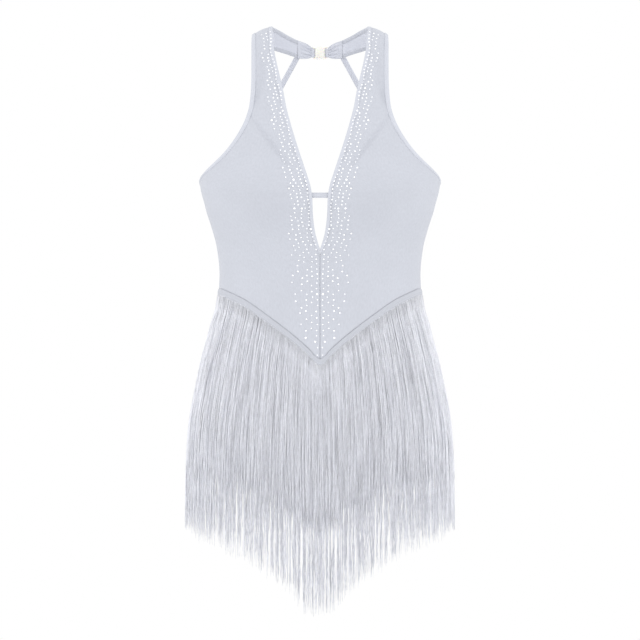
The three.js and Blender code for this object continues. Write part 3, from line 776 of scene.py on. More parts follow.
@dataclass(frozen=True)
class StrandFinish(Finish):
    """Soft twisted strands with a slight lustre, each of its own tone, with painted glints along
    them.
    """

    twist: float = 2.4
    roughness: float = 0.62
    spread: float = 0.1
    depth: float = 0.5

    def make(self) -> Material:
        """Makes the material from each strand's tone, a twist along it and painted glints."""
        shader = Shader(self.name)
        place, tone = shader.place(), shader.tone()
        turn = shader.node("Mapping", Vector=place, Rotation=(0.0, 0.0, 0.7)).outputs[0]
        twist = shader.waves(turn, "Y", self.twist, Distortion=0.6)
        # Noise along each strand, moved by its tone, that lightens and darkens its colour in
        # dashes: painted highlights for the twist catching the light.
        own = shader.node("CombineXYZ", X=shader.product(tone, 9.0)).outputs[0]
        moved = shader.node("VectorMath", {"operation": "ADD"}, i0=place, i1=own).outputs[0]
        long = shader.node("Mapping", Vector=moved, Scale=(90.0, 150.0, 1.0)).outputs[0]
        glint = shader.noise(long, 1.0, 2.0)
        light = shader.scaled(tone, 1 - self.spread, 1 + self.spread)
        light = shader.product(light, shader.scaled(glint, 0.86, 1.09, 0.3, 0.7))
        ply = shader.scaled(twist, 0.95, 1.03)
        shader.set(
            Base_Color=shader.tinted(self.color, shader.product(light, ply)),
            Normal=shader.bump(twist, 0.4, 0.0003),
            Roughness=self.roughness,
            Specular_IOR_Level=0.3,
            Sheen_Weight=0.2,
            Sheen_Roughness=0.4,
            Subsurface_Weight=self.depth,
            Subsurface_Radius=(1.0, 1.0, 1.0),
            Subsurface_Scale=0.0012,
        )
        return shader.material


@dataclass(frozen=True)
class ThreadFinish(Finish):
    """Polyester sewing thread, a little glossier than the cloth."""

    def make(self) -> Material:
        """Makes the material, with fibres running along each stitch."""
        shader = Shader(self.name)
        fibre = shader.noise(shader.place(), 1800.0, 2.0)
        shader.set(
            Base_Color=shader.tinted(self.color, shader.scaled(fibre, 0.9, 1.08)),
            Normal=shader.bump(fibre, 0.3, 0.0001),
            Roughness=0.5,
            Sheen_Weight=0.1,
        )
        return shader.material


@dataclass(frozen=True)
class PlasticFinish(Finish):
    """Moulded cream plastic with a soft satin face."""

    def make(self) -> Material:
        """Makes the material, with the mould's faint unevenness."""
        shader = Shader(self.name)
        place = shader.node("TexCoord").outputs["Object"]
        cloud, wear = shader.noise(place, 900.0, 2.0), shader.noise(place, 160.0, 3.0)
        shader.set(
            Base_Color=shader.tinted(self.color, shader.scaled(wear, 0.96, 1.02)),
            Normal=shader.bump(cloud, 0.12, 0.0002),
            Roughness=shader.scaled(wear, 0.3, 0.46),
            Subsurface_Weight=0.15,
            Subsurface_Scale=0.002,
        )
        return shader.material


@dataclass(frozen=True)
class GemFinish(Finish):
    """Cut glass over silver foil: bright facets of uneven tone, with an emission (glow) that is
    painted light.
    """

    roughness: float = 0.12
    metallic: float = 0.55
    glow: float = 0.0

    def make(self) -> Material:
        """Makes the material, with a tone for each facet."""
        shader = Shader(self.name)
        tone = shader.tone()
        shader.set(
            Base_Color=shader.tinted(self.color, shader.scaled(tone, 0.72, 1.12)),
            Roughness=shader.scaled(tone, 0.3, self.roughness),
            Metallic=self.metallic,
            Specular_IOR_Level=0.8,
            Coat_Weight=0.6,
            Coat_Roughness=0.05,
            # The emission makes the stones glow by themselves: painted light.
            Emission_Color=self.rgba(),
            Emission_Strength=self.glow,
        )
        return shader.material


@dataclass(frozen=True)
class FloorFinish(Finish):
    """Matte studio floor."""

    def make(self) -> Material:
        """Makes the material, faintly uneven."""
        shader = Shader(self.name)
        place = shader.node("TexCoord").outputs["Object"]
        factor = shader.scaled(shader.noise(place, 3.0, 4.0), 0.98, 1.02)
        shader.set(Base_Color=shader.tinted(self.color, factor), Roughness=0.9)
        return shader.material


BODICE_KNIT = KnitFinish("bodice_knit", (0.505, 0.52, 0.567))
# A lighter copy of the bodice knit for the inner faces of the walls: painted light that lifts the
# shade on the insides seen from the front.
INNER_FACE_LIGHTENED_KNIT = KnitFinish("bodice_knit_inner_face_painted_light", (0.66, 0.675, 0.735), mottle=0.03)
EDGE_KNIT = KnitFinish("edge_knit", (0.55, 0.565, 0.615), wale=0.8, course=0.7, mottle=0.035)
# A lighter copy of the knit for the back straps and neck tabs: painted light that lifts the shade
# on their inner faces seen from the front.
STRAP_KNIT_LIGHTENED = KnitFinish("strap_knit_painted_light", (0.63, 0.645, 0.70), wale=0.8, course=0.7, mottle=0.035)
TAPE_KNIT = KnitFinish("tape_knit", (0.475, 0.488, 0.53), wale=1.3, course=0.9, mottle=0.04)
FRINGE_STRANDS = StrandFinish("fringe_strands", (0.838, 0.85, 0.92))
SEWING_THREAD = ThreadFinish("sewing_thread", (0.56, 0.575, 0.625))
CREAM_PLASTIC = PlasticFinish("cream_plastic", (0.99, 0.925, 0.84))
# The glass glows faintly: painted light that brightens the stones.
CUT_GLASS = GemFinish("cut_glass", (0.92, 0.925, 0.94), glow=0.06)
# The dark grey rim round each stone: partly the foil's edge, partly painted shade for the shadow
# round the stone.
STONE_RIM_FOIL_AND_SHADE = GemFinish("stone_rim_foil_and_painted_shade", (0.42, 0.425, 0.45), roughness=0.35, metallic=0.2)


# ---- relief of the cloth ----


@dataclass(frozen=True)
class Crease:
    """A soft trough (or ridge, where its depth is below 0) from one place to another."""

    start: tuple[float, float]
    end: tuple[float, float]
    width: float
    depth: float

    def pull(self, across: Array, level: Array) -> Array:
        """How far the cloth is drawn in.

        Args:
            across: the points' distance from the middle, or from a piece's own middle.
            level: their height.

        Returns:
            The distance inward at each.
        """
        start, end = np.asarray(self.start, float), np.asarray(self.end, float)
        line = end - start
        off = np.stack([across, level], axis=-1) - start
        share = np.clip(dot(off, line) / np.dot(line, line), -0.1, 1.1)
        away = np.linalg.norm(off - share[..., None] * line, axis=-1)
        fade = smoothstep(share, -0.1, 0.22) * (1 - smoothstep(share, 0.78, 1.1))
        return self.depth * fade * np.exp(-((away / self.width) ** 2))


def creases(*rows: tuple[float, ...]) -> tuple[Crease, ...]:
    """Creases from rows of (across, level) of the start, the same of the end, width and depth."""
    return tuple(Crease(row[:2], row[2:4], *row[4:]) for row in rows)


FRONT_CREASES = creases(
    (79, -122, 42, -176, 7, 1.3), (92, -113, 35, -188, 2.6, 2.0), (72, -30, 84, -104, 4.8, 2.2),
    (76, -66, 68, -96, 3.4, 0.7), (70, -112, 36, -150, 9, -0.7), (96, -132, 78, -186, 10, 0.7),
    (146, -214, 104, -238, 9, 1.0), (150, -232, 112, -262, 8, -0.7), (132, -276, 92, -296, 10, 0.9),
    (128, -318, 70, -334, 12, 0.8), (40, -296, 58, -352, 13, 0.6), (62, -70, 72, -118, 9, 0.8),
    (60, -350, 22, -398, 9, 0.6),
)
BACK_CREASES = creases(
    (-96, -226, -54, -286, 9, 1.2), (98, -220, 62, -290, 10, 1.1), (-118, -300, -60, -322, 10, 0.9),
    (112, -296, 48, -326, 11, 1.0), (-30, -312, 22, -336, 9, 0.6), (120, -250, 96, -282, 8, -0.6),
)
BRIEF_CREASES = creases(
    (-104, -478, -40, -520, 9, 1.1), (98, -470, 44, -526, 10, 1.0), (-60, -420, 10, -446, 12, 0.7),
    (24, -560, -18, -584, 6, 0.8),
)


@dataclass(frozen=True)
class Relief:
    """How a cloth panel departs from the plain figure: creases, and a roll at its sewn edges."""

    creases: tuple[Crease, ...] = ()
    roll: float = 0.3
    roll_width: float = 0.9
    drift: float = 0.25
    fade: float = 14
    mirrored: bool = False

    def shaped(self, grid: Grid, rolls: Sequence[Array]) -> Grid:
        """The plain grid with its relief, given each point's distance from each sewn edge."""
        return grid - grid_normals(grid) * self.inward(grid, rolls)[..., None]

    def inward(self, points: Array, rolls: Sequence[Array]) -> Array:
        """How far the relief draws points in.

        Args:
            points: the points on the plain figure.
            rolls: distances of each point from each sewn edge.

        Returns:
            The distance at each.
        """
        across = np.abs(points[..., 0]) if self.mirrored else points[..., 0]
        level = points[..., 2]
        inward = sum(crease.pull(across, level) for crease in self.creases) + np.zeros_like(level)
        inward += self.drift * np.sin(across / 17 + level / 41) * np.sin(level / 23 - across / 53)
        for away in rolls:
            inward *= smoothstep(away, 0, self.fade)
        for away in rolls:
            inward += self.roll * np.exp(-((away / self.roll_width) ** 2))
        return inward


# ---- small sewn things ----


@dataclass(frozen=True)
class StitchRow:
    """Topstitching: short raised threads in a row along a line."""

    pitch: float = 2.9
    length: float = 2.1
    width: float = 0.42
    height: float = 0.22
    rise: float = 0.05

    # Pairs of (share along a stitch, how full it is), and the shape of a section of it.
    PROFILE = ((-0.5, 0.0), (-0.32, 0.8), (0.0, 1.0), (0.32, 0.8), (0.5, 0.0))
    RING = ((1, 0.1), (0.45, 0.95), (-0.45, 0.95), (-1, 0.1), (0, -0.6))

    def draw(
        self, draft: Draft, line: Array, normal: Array, rng: Generator
    ) -> None:
        """Adds the row's stitches.

        Args:
            draft: what to add them to.
            line: points along the row, on the cloth's face.
            normal: the cloth's normals there.
            rng: the draws for their unevenness.
        """
        run = run_along(line)
        count = max(1, int((run[-1] - self.length) / self.pitch))
        middle = (np.arange(count) + 0.5) * self.pitch + rng.normal(0, 0.07, count)

        def at(place: Array, of: Array) -> Array:
            """The line's points or normals at distances along it."""
            return np.stack([np.interp(place, run, of[:, k]) for k in range(3)], axis=1)

        along = unit(at(middle + 0.5, line) - at(middle - 0.5, line))
        up = unit(at(middle, normal))
        side = unit(np.cross(along, up))
        centre = at(middle, line)
        points = np.stack(
            [
                centre
                + along * self.length * t
                + side * (self.width * max(w, 0.25) * a / 2)
                + up * (self.height * (b * max(w, 0.1) + w - 0.7))
                for t, w in self.PROFILE
                for a, b in self.RING
            ],
            axis=1,
        )
        rows, sides = len(self.PROFILE), len(self.RING)
        faces, _, _ = quads(rows, sides)
        uvs = np.stack([faces % sides * 0.2, faces // sides % rows * 0.5], axis=-1)
        draft.add_bodies(points.reshape(count, rows, sides, 3), uvs)

    def rows(self, rings: Grid, places: Sequence[int], normal: Array, seed: int) -> Draft:
        """A draft of rows of stitches along a strip.

        Args:
            rings: the strip's sections.
            places: which points of each section the rows run along.
            normal: the cloth's normals along the strip.
            seed: the number that the stitches' unevenness is drawn from.

        Returns:
            The draft.
        """
        draft, rng = Draft(), np.random.default_rng(seed)
        for k in places:
            self.draw(draft, rings[:, k] + normal * self.rise, normal, rng)
        return draft


@dataclass(frozen=True)
class Declared:
    """What a sheet of cloth was cut to and how it is held."""

    flat: tuple[float, float]
    held: Held
    rests_on: tuple[str, ...]
    area: float | None = None

    def say(self, piece: Piece, with_pieces: Sequence[Piece] = ()) -> None:
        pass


def stand_for(piece: Piece, slot: Slot, *nodes: str) -> None:
    """Hides the CAD nodes that a piece stands for, and logs the record's slot it is meant to have.
    """
    if nodes:
        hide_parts(*nodes)
    log.info("%s: %d faces, slot %s", piece.name, len(piece.data.polygons), slot.value)


def sew(
    node: str, part: str, finish: Finish, strip: Draft, stitches: Draft, cut: Declared
) -> list[Piece]:
    """Builds a strip and its stitching.

    Args:
        node: the CAD node that the strip stands for.
        part: what the strip is called after the node's name.
        finish: its finish.
        strip: its draft.
        stitches: the draft of its stitches.
        cut: the sheet that it was cut from.

    Returns:
        The strip and its stitches.
    """
    piece = strip.build(f"{node}_{part}", [finish])
    stand_for(piece, Slot.BINDING, node)
    thread = stitches.build(f"{node}_stitches", [SEWING_THREAD])
    stand_for(thread, Slot.BINDING)
    cut.say(piece, [thread])
    return [piece, thread]


# ---- the fronts ----


@dataclass
class FrontLines:
    """The lines that bound a front and its bindings, from the strap's seam to their ends."""

    binding: float = 5.6
    keyhole_point: float = 1.5
    steps: int = 5

    def places(self, by: float) -> dict[str, Pair]:
        """The ends of each row of a front, and the same moved in from its bound edges.

        Args:
            by: how far to move in.

        Returns:
            Angles and levels of the lines neck, neck_seam, arm_seam and arm.
        """
        necks = np.array([neck for neck, _ in FRONT_ROWS], float)
        sides = np.array([side for _, side in FRONT_ROWS], float)
        neck_across = np.where(necks > KEYHOLE_END, NECKLINE_AT(necks), HALF_GAP)
        neck = FIGURE.angle_at(neck_across, necks)
        arm = np.where(
            sides > UNDERARM,
            np.minimum(SIDE_ANGLE, FIGURE.angle_at(ARMHOLE_AT(sides), sides)),
            SIDE_ANGLE,
        )
        inner, outer = (neck, necks), (arm, sides)
        neck_in, arm_in = FIGURE.moved_in(inner, outer, by), FIGURE.moved_in(outer, inner, by)
        for moved, edge, row in ((neck_in, inner, KEYHOLE_ROW), (arm_in, outer, ARMHOLE_ROW)):
            for part, plain in zip(moved, edge):
                part[row:] = plain[row:]
        end = KEYHOLE_END - self.keyhole_point * by
        neck_in[0][KEYHOLE_ROW], neck_in[1][KEYHOLE_ROW] = FIGURE.angle_at(HALF_GAP, end), end
        arm_in[1][ARMHOLE_ROW] = UNDERARM - by
        arm_seam = (np.minimum(SIDE_ANGLE, arm_in[0]), arm_in[1])
        return {"neck": inner, "neck_seam": neck_in, "arm_seam": arm_seam, "arm": outer}

    def line(self, name: str) -> Array:
        """The points of one line, behind the shoulder and in front.

        Args:
            name: neck, neck_seam, arm_seam or arm.

        Returns:
            The points in order from the strap's seam.
        """
        angle, level = self.places(self.binding)[name]
        behind = []
        for a, b in BAND_FROM_SEAM:
            inset = self.binding / np.linalg.norm(b - a)
            share = {"neck": 0.0, "neck_seam": inset, "arm_seam": 1 - inset, "arm": 1.0}[name]
            behind.append(blend(a, b, share))
        return np.concatenate([behind, FIGURE.point(angle, level)])

    def pair(self, edge: str, seam: str, rows: int) -> Grid:
        """A fine grid from an edge to its seam that runs down some of the rows in front."""
        count = len(BAND) + rows
        both = np.stack([self.line(edge)[:count], self.line(seam)[:count]], axis=1)
        return refined(both, self.steps)


@dataclass
class FrontPanel:
    """A bodice front cut in one with its halter strap, for the wearer's left and right."""

    columns: int = 78
    steps: int = 8
    wall: float = 1.0
    lap: float = 0.7
    tuck_width: float = 1.6
    tuck_deep: float = 0.1
    flat: Span = (175, 450)
    area: float = 48000
    relief: Relief = Relief(creases=FRONT_CREASES, mirrored=True)

    def grid(self) -> Grid:
        """The fine grid of the left front's outer face."""
        lines = FrontLines()
        inset = lines.places(lines.binding - self.lap)
        (neck, neck_level), (arm, arm_level) = inset["neck_seam"], inset["arm_seam"]
        share = packed_shares(self.columns)[None]
        angle = blend(neck[:, None], arm[:, None], share)
        straight = blend(neck_level[:, None], arm_level[:, None], share)
        bend = FIGURE.front_seam(angle) - blend(FRONT_SEAM[0][1], BACK_SEAM_SIDE, share)
        last = len(FRONT_ROWS) - 1
        weight = np.maximum(0, (np.arange(last + 1) - ARMHOLE_ROW) / (last - ARMHOLE_ROW))[:, None]
        level = straight + bend * weight**2
        behind = []
        for a, b in BAND_FROM_SEAM:
            side = (lines.binding - self.lap) / np.linalg.norm(b - a)
            behind.append(blend(a, b, blend(side, 1 - side, share.T)))
        return refined(np.concatenate([behind, FIGURE.point(angle, level)]), self.steps)

    def shaped(self) -> Grid:
        """The same grid with its creases and its rolled seams."""
        grid = self.grid()
        across, along = distances(grid)
        centre, side = np.full_like(across, FAR), np.full_like(across, FAR)
        first = (len(BAND) + KEYHOLE_ROW) * self.steps
        under = (len(BAND) + ARMHOLE_ROW) * self.steps
        centre[first:] = across[first:]
        side[under:] = (across[:, -1:] - across)[under:]
        waist = along[-1:] - along
        bound_neck, bound_arm = across.copy(), across[:, -1:] - across
        bound_neck[first:], bound_arm[under:] = FAR, FAR
        shaped = self.relief.shaped(grid, [centre, side, waist])
        tuck = sum(np.exp(-((away / self.tuck_width) ** 2)) for away in (bound_neck, bound_arm))
        return shaped - grid_normals(shaped) * self.tuck_deep * tuck[..., None]

    def build(self) -> list[Piece]:
        """Builds both fronts."""
        draft = sheet_draft(self.shaped())
        made = []
        for side, shape in both_sides(draft):
            piece = shape.build(f"front_{side}_cloth", [BODICE_KNIT, INNER_FACE_LIGHTENED_KNIT], wall=self.wall)
            stand_for(piece, Slot.KNIT, f"front_{side}")
            made.append(piece)
        return made

    def declare(self, side: str, front: Piece, extra: Sequence[Piece]) -> None:
        """Makes the sheet of a side's front, with the separate pieces on it, and hands it to say,
        which does nothing.
        """
        Declared(self.flat, Held.HUNG, (f"neck_tab_{side}_cloth",), self.area).say(front, extra)


# ---- bindings ----


@dataclass(frozen=True)
class Binding:
    """A strip folded over an edge and topstitched: its section runs round from edge to seam."""

    proud: float = 0.35
    crown: float = 0.45
    thick: float = 1.8
    groove_at: float = 0.74
    stitches: StitchRow = StitchRow()

    # Pairs of (share of the way from the edge to the seam, share of the crown's height).
    PROFILE = [
        (0.0, -0.6), (0.005, 0.15), (0.05, 0.62), (0.14, 0.92), (0.3, 1.0), (0.5, 1.0),
        (0.65, 0.92), (0.74, 0.78), (0.83, 0.8), (0.92, 0.55), (0.985, 0.1), (1.0, -0.6),
    ]

    # Pairs of (share of the way, height above the lower face) back from the seam to the edge.
    UNDERSIDE = [(0.97, 0.35), (0.86, 0), (0.5, -0.1), (0.14, 0), (0.03, 0.35)]

    def rings(self, pair: Grid) -> Grid:
        """The sections of the strip over an edge and its seam."""
        low = self.proud - self.thick
        profile = [(u, self.proud + self.crown * h) for u, h in self.PROFILE]
        return swept(pair, profile + [(u, low + h) for u, h in self.UNDERSIDE])

    def draft(self, pair: Grid) -> Draft:
        """A draft of the strip."""
        return tube_draft(self.rings(pair))

    def stitching(self, pair: Grid, seed: int) -> Draft:
        """A draft of the stitches along its groove, outside and inside.

        Args:
            pair: the grid from its edge to its seam.
            seed: the number that their unevenness is drawn from.

        Returns:
            The draft.
        """
        rng = np.random.default_rng(seed)
        edge, seam = pair[:, 0], pair[:, 1]
        normal = grid_normals(pair)[:, 0]
        draft = Draft()
        line = edge + (seam - edge) * self.groove_at
        self.stitches.draw(draft, line + normal * (self.proud + 0.7 * self.crown), normal, rng)
        under = line - normal * (self.thick - self.proud + 0.02)
        self.stitches.draw(draft, under, -normal, rng)
        return draft


@dataclass
class EdgeBindings:
    """The folded strips on the neckline, the armholes and the back's top edge."""

    binding: Binding = Binding()
    cut_width: float = 10
    folded_width: float = 7.6

    # Rows of (line, CAD node, rows of the front that it runs down, seed of its stitches).
    FRONT = [
        ("neck", "neck_binding", KEYHOLE_ROW + 1, 11),
        ("arm", "armhole_binding", ARMHOLE_ROW + 1, 12),
    ]
    BACK_SEED = 13

    def build(self) -> dict[str, list[Piece]]:
        """Builds the strips and their stitching.

        Returns:
            The pieces that lie on each front, by its side.
        """
        lines = FrontLines()
        on: dict[str, list[Piece]] = {"left": [], "right": []}
        for name, node, rows, seed in self.FRONT:
            pair = lines.pair(name, f"{name}_seam", rows)
            strip, stitches = self.binding.draft(pair), self.binding.stitching(pair, seed)
            for side, shape, thread in both_sides(strip, stitches):
                cut = self.cut(pair, f"front_{side}_cloth")
                on[side] += sew(f"{node}_{side}", "strip", EDGE_KNIT, shape, thread, cut)
        pair = BackPanel().edge_pair()
        strip, stitches = self.binding.draft(pair), self.binding.stitching(pair, self.BACK_SEED)
        sew("back_binding", "strip", EDGE_KNIT, strip, stitches, self.cut(pair, "back_cloth"))
        return on

    def cut(self, pair: Grid, panel: str) -> Declared:
        """The sheet of a strip, measured along its middle, that is folded on a panel's edge."""
        length = length_of(pair.mean(axis=1))
        size = (self.cut_width, length)
        return Declared(size, Held.FOLDED, (panel,), self.folded_width * length)


# ---- the back ----


@dataclass
class BackPanel:
    """The low back, scooped to the small of the back between its straps."""

    columns: int = 120
    rows: int = 44
    wall: float = 1.0
    lap: float = 0.7
    flat: Span = (300, 158)
    area: float = 26500
    shoulder: float = -206
    middle: float = -297
    spread: float = math.radians(58)
    blunt: float = 2.6
    sharp: float = 0.62
    least_step: float = 0.3
    relief: Relief = Relief(creases=BACK_CREASES)

    def top(self, angle: Array) -> Array:
        """The level of the top edge at angles from the middle back."""
        share = np.abs(angle) / self.spread
        dip = (1 - np.clip(share, 0, 1) ** self.blunt) ** self.sharp
        scoop = self.shoulder + (self.middle - self.shoulder) * dip
        outer = np.clip((np.abs(angle) - self.spread) / (math.pi / 2 - self.spread), 0, 1)
        return scoop + (UNDERARM - self.shoulder) * outer**2

    def edge(self, by: float, count: int) -> Pair:
        """The top edge from one side seam to the other.

        Args:
            by: how far it is moved in.
            count: how many steps it has.

        Returns:
            Its angles and levels.
        """
        angle = np.linspace(-SIDE_ANGLE, SIDE_ANGLE, count + 1)
        level = self.top(angle)
        turned = math.pi - angle
        foot = np.full_like(level, BACK_SEAM_MIDDLE - 10)
        moved, low = FIGURE.moved_in((turned, level), (turned, foot), by)
        moved[[0, -1]], low[[0, -1]] = turned[[0, -1]], level[[0, -1]] - by
        moved = np.minimum.accumulate(np.clip(moved, turned[-1], turned[0]))
        step = np.maximum(-np.diff(moved), self.least_step * math.pi / count)
        run = np.concatenate([[0], np.cumsum(step)]) / step.sum()
        even = blend(moved[0], moved[-1], run)
        return even, np.interp(-even, -moved, low)

    def edge_pair(self) -> Grid:
        """The grid of the top edge's binding."""
        lines = FrontLines()
        return np.stack(
            [FIGURE.point(*self.edge(by, self.columns)) for by in (0.0, lines.binding)], axis=1
        )

    def grid(self) -> Grid:
        """The fine grid of the outer face."""
        angle, level = self.edge(FrontLines().binding - self.lap, self.columns)
        foot = FIGURE.back_seam(math.pi - angle)
        share = packed_shares(self.rows, (0.01, 0.025))[:, None]
        return FIGURE.point(angle[None], blend(level[None], foot[None], share))

    def build(self) -> None:
        """Builds the back."""
        grid = self.grid()
        across, along = distances(grid)
        edges = [across, across[:, -1:] - across, along[-1:] - along]
        piece = sheet_draft(self.relief.shaped(grid, edges)).build(
            "back_cloth", [BODICE_KNIT, INNER_FACE_LIGHTENED_KNIT], wall=self.wall
        )
        stand_for(piece, Slot.KNIT, "back")
        Declared(self.flat, Held.STRETCHED, FRONT_CLOTHS, self.area).say(piece)


# ---- the brief ----


@dataclass
class Brief:
    """The attached brief under the fringe, front and back, cut high at the legs."""

    crotch: float = -590
    drawn_from: float = -500
    bow: float = 1.6
    settles: float = 2.2
    columns: int = 64
    steps: int = 4
    wall: float = 1.0
    flat: Span = (400, 250)
    relief: Relief = Relief(creases=BRIEF_CREASES)

    AREAS = {Facing.FRONT: 64000, Facing.BACK: 82000}

    def tuck(self, level: Array) -> Array:
        """How far a section is drawn in towards the crotch."""
        share = np.clip((self.drawn_from - level) / (self.drawn_from - self.crotch), 0, 1)
        return np.sqrt(1 - share**2)

    def grid(self, facing: Facing) -> Grid:
        """The fine grid of one half's outer face.

        Args:
            facing: front or back.

        Returns:
            The grid.
        """
        front = facing is Facing.FRONT
        seam = FIGURE.front_seam if front else FIGURE.back_seam
        side_levels = np.array(BRIEF_SIDE_LEVELS, float)
        leg_levels = np.array([row[0] for row in LEG], float)
        reach = np.array([row[1 if front else 2] for row in LEG], float)
        leg = np.minimum(SIDE_ANGLE, FIGURE.angle_at(reach, leg_levels))
        level = np.concatenate([side_levels, leg_levels])[:, None]
        limit = np.concatenate([np.full(len(side_levels), SIDE_ANGLE), leg])[:, None]
        v = np.linspace(0, 1, len(level))[:, None]
        side = np.linspace(-1, 1, self.columns + 1)[None]
        angle = side * limit
        centre = blend(float(seam(0.0)), self.crotch, v)
        plain = blend(centre, level, np.abs(side) ** self.bow)
        at = blend(seam(angle), plain, np.minimum(1, self.settles * v))
        tuck = self.tuck(at)
        points = FIGURE.point(angle if front else math.pi - angle, at, 0, tuck)
        points[..., 1] -= facing.value * (HALF_GAP + 0.6 * (1 - tuck))
        return refined(points, self.steps)

    def build(self) -> None:
        """Builds both halves."""
        for facing in Facing:
            name = facing.name.lower()
            grid = self.grid(facing)
            across, along = distances(grid)
            shaped = self.relief.shaped(grid, [along, across, across[:, -1:] - across])
            piece = sheet_draft(shaped).build(
                f"brief_{name}_cloth", [BODICE_KNIT, INNER_FACE_LIGHTENED_KNIT], wall=self.wall
            )
            stand_for(piece, Slot.KNIT, f"brief_{name}")
            rests = FRONT_CLOTHS if facing is Facing.FRONT else ("back_cloth",)
            Declared(self.flat, Held.STRETCHED, rests, self.AREAS[facing]).say(piece)


# ---- behind the neck ----


@dataclass
class NeckFastening:
    """The gathered tabs behind the neck and the two cream halves of the clasp between them."""

    tall: float = 17
    face_half: float = 5.9
    face_at: float = -3.2
    rib_half: float = 0.35
    pin: float = 1.2
    pin_at: float = 8.6
    rail: float = 1.5
    sleeve_tall: float = 12.8
    sleeve: float = 2.7
    tab_thick: float = 1.3
    pleats: float = 4.3
    pleat_deep: float = 0.62
    folds: float = 2.1
    fold_deep: float = 0.3
    tab_flat: Span = (38, 24)
    tab_area: float = 820
    columns: int = 40

    RIBS = (-3.6, -1.2, 1.2, 3.6)

    def axes(self) -> tuple[Array, Array, Array]:
        """The clasp's middle, its upward direction and its direction away from the neck."""
        top, low = np.asarray(TAB[-1][0], float), np.asarray(TAB[-1][1], float)
        middle = (top + low) / 2 * [0, 1, 1]
        up = unit((top - low) * [0, 1, 1])
        return middle, up, np.array([0.0, up[2], -up[1]])

    def placed(self, points: Array) -> Array:
        """Points drawn as across, out and up from the clasp's middle, put in place."""
        middle, up, out = self.axes()
        x, y, z = points[..., 0:1], points[..., 1:2], points[..., 2:3]
        return middle + x * [1, 0, 0] + y * out + z * up

    def tab(self) -> Draft:
        """The left tab: a pleated strip, and its end wrapped round the clasp's pin."""
        rows = np.array([[neck, low] for neck, low in TAB], float)
        share = np.linspace(0, 1, self.columns + 1)[None, :, None]
        grid = refined(blend(rows[:, :1], rows[:, 1:], share), 8)
        along = np.linspace(0, 1, len(grid))[:, None]
        turn = np.linspace(0, 1, self.columns + 1)[None]
        hold = smoothstep(along, 0.06, 0.55) * (1 - 0.35 * smoothstep(along, 0.8, 1))
        pleats = self.pleats * turn + 0.14 * np.sin(5 * along)
        folds = self.folds * turn + 0.3 + 0.35 * along
        waves = self.pleat_deep * np.sin(2 * np.pi * pleats)
        waves += self.fold_deep * np.sin(2 * np.pi * folds)
        edge = smoothstep(turn, 0, 0.08) * (1 - smoothstep(turn, 0.92, 1))
        grid = grid + grid_normals(grid) * (waves * hold * edge + 0.1)[..., None]
        half = grid_normals(grid) * self.tab_thick / 2
        draft = tube_draft(np.concatenate([grid + half, (grid - half)[:, ::-1]], axis=1))
        self.add_sleeve(draft)
        return draft

    def add_sleeve(self, draft: Draft) -> None:
        """Adds the loop of cloth round the pin, a little gathered."""
        rows, sides = 26, 28
        up = np.linspace(-0.5, 0.5, rows)[:, None] * self.sleeve_tall
        turn = np.linspace(0, 2 * np.pi, sides, endpoint=False)[None]
        ripple = 0.13 * np.sin(up * 2.4 + 1.3 * np.sin(turn)) + 0.05 * np.sin(up * 5.1)
        ends = 0.35 * smoothstep(np.abs(up), self.sleeve_tall / 2 - 0.7, self.sleeve_tall / 2)
        outer = self.sleeve - 0.1 + ripple - ends
        inner = np.full_like(outer, self.pin + GAP)
        faces = []
        for radius in (outer, inner):
            x, y = self.pin_at + radius * np.cos(turn), radius * np.sin(turn)
            faces.append(self.placed(np.stack([x, y, np.broadcast_to(up, x.shape)], axis=-1)))
        rings = np.concatenate([faces[0], faces[1][::-1], faces[0][:1]])
        _, along = distances(rings)
        around = np.linspace(0, 2 * np.pi * self.sleeve, sides + 1)
        uv = np.stack(np.broadcast_arrays(around[None], along[:, :1]), axis=-1)
        draft.add_grid(rings, uv, closed=True)

    def block(self, x: Span, y: Span, z: Span, round_by: float) -> Array:
        """A rounded moulded bar or plate, as rings from one end to the other.

        Args:
            x: its ends across.
            y: its ends outward.
            z: its ends upward.
            round_by: the radius of its edges.

        Returns:
            The rings, in place.
        """
        corner = np.linspace(0, np.pi / 2, 4)
        rings = []
        ends = [(z[0], 1.0)]
        ends += [(z[0] + round_by * (1 - math.cos(a)), 1 - math.sin(a)) for a in corner[1:]]
        ends += [(z[0] + z[1] - e, s) for e, s in reversed(ends)]
        for level, inset in ends:
            inset *= round_by
            ring = []
            for k, (cx, cy) in enumerate(((x[1], y[1]), (x[0], y[1]), (x[0], y[0]), (x[1], y[0]))):
                sx, sy = (-1 if cx == x[1] else 1), (-1 if cy == y[1] else 1)
                for a in corner + k * np.pi / 2:
                    px = cx + sx * (round_by + inset) + round_by * math.cos(a)
                    py = cy + sy * (round_by + inset) + round_by * math.sin(a)
                    ring.append((px, py, level))
            rings.append(ring)
        return self.placed(np.array(rings, float))

    def rod(self, x: float, radius: float, tall: float) -> Array:
        """The rings of an upright pin with rounded ends.

        Args:
            x: its place across.
            radius: its radius.
            tall: its height.

        Returns:
            The rings, in place.
        """
        turn = np.linspace(0, 2 * np.pi, 20, endpoint=False)
        ends = [(-tall / 2, 0.6), (-tall / 2 + 0.25, 0.95), (-tall / 2 + 0.5, 1.0)]
        ends += [(-z, r) for z, r in reversed(ends)]
        rings = [
            np.stack([x + radius * r * np.cos(turn), radius * r * np.sin(turn), np.full(20, z)], -1)
            for z, r in ends
        ]
        return self.placed(np.array(rings))

    def bow(self, side: int, start: float, depth: Span) -> list[Array]:
        """The two rails and the pin that hold a tab's sleeve.

        Args:
            side: 1 for the wearer's left, -1 for the right.
            start: where the rails leave the clasp.
            depth: their faces.

        Returns:
            The rings of each part.
        """
        reach = tuple(sorted((side * start, side * self.pin_at)))
        half = self.tall / 2
        rails = [
            self.block(reach, depth, ends, 0.3)
            for ends in ((-half, -half + self.rail), (half - self.rail, half))
        ]
        return [*rails, self.rod(side * self.pin_at, self.pin, self.tall - 0.2)]

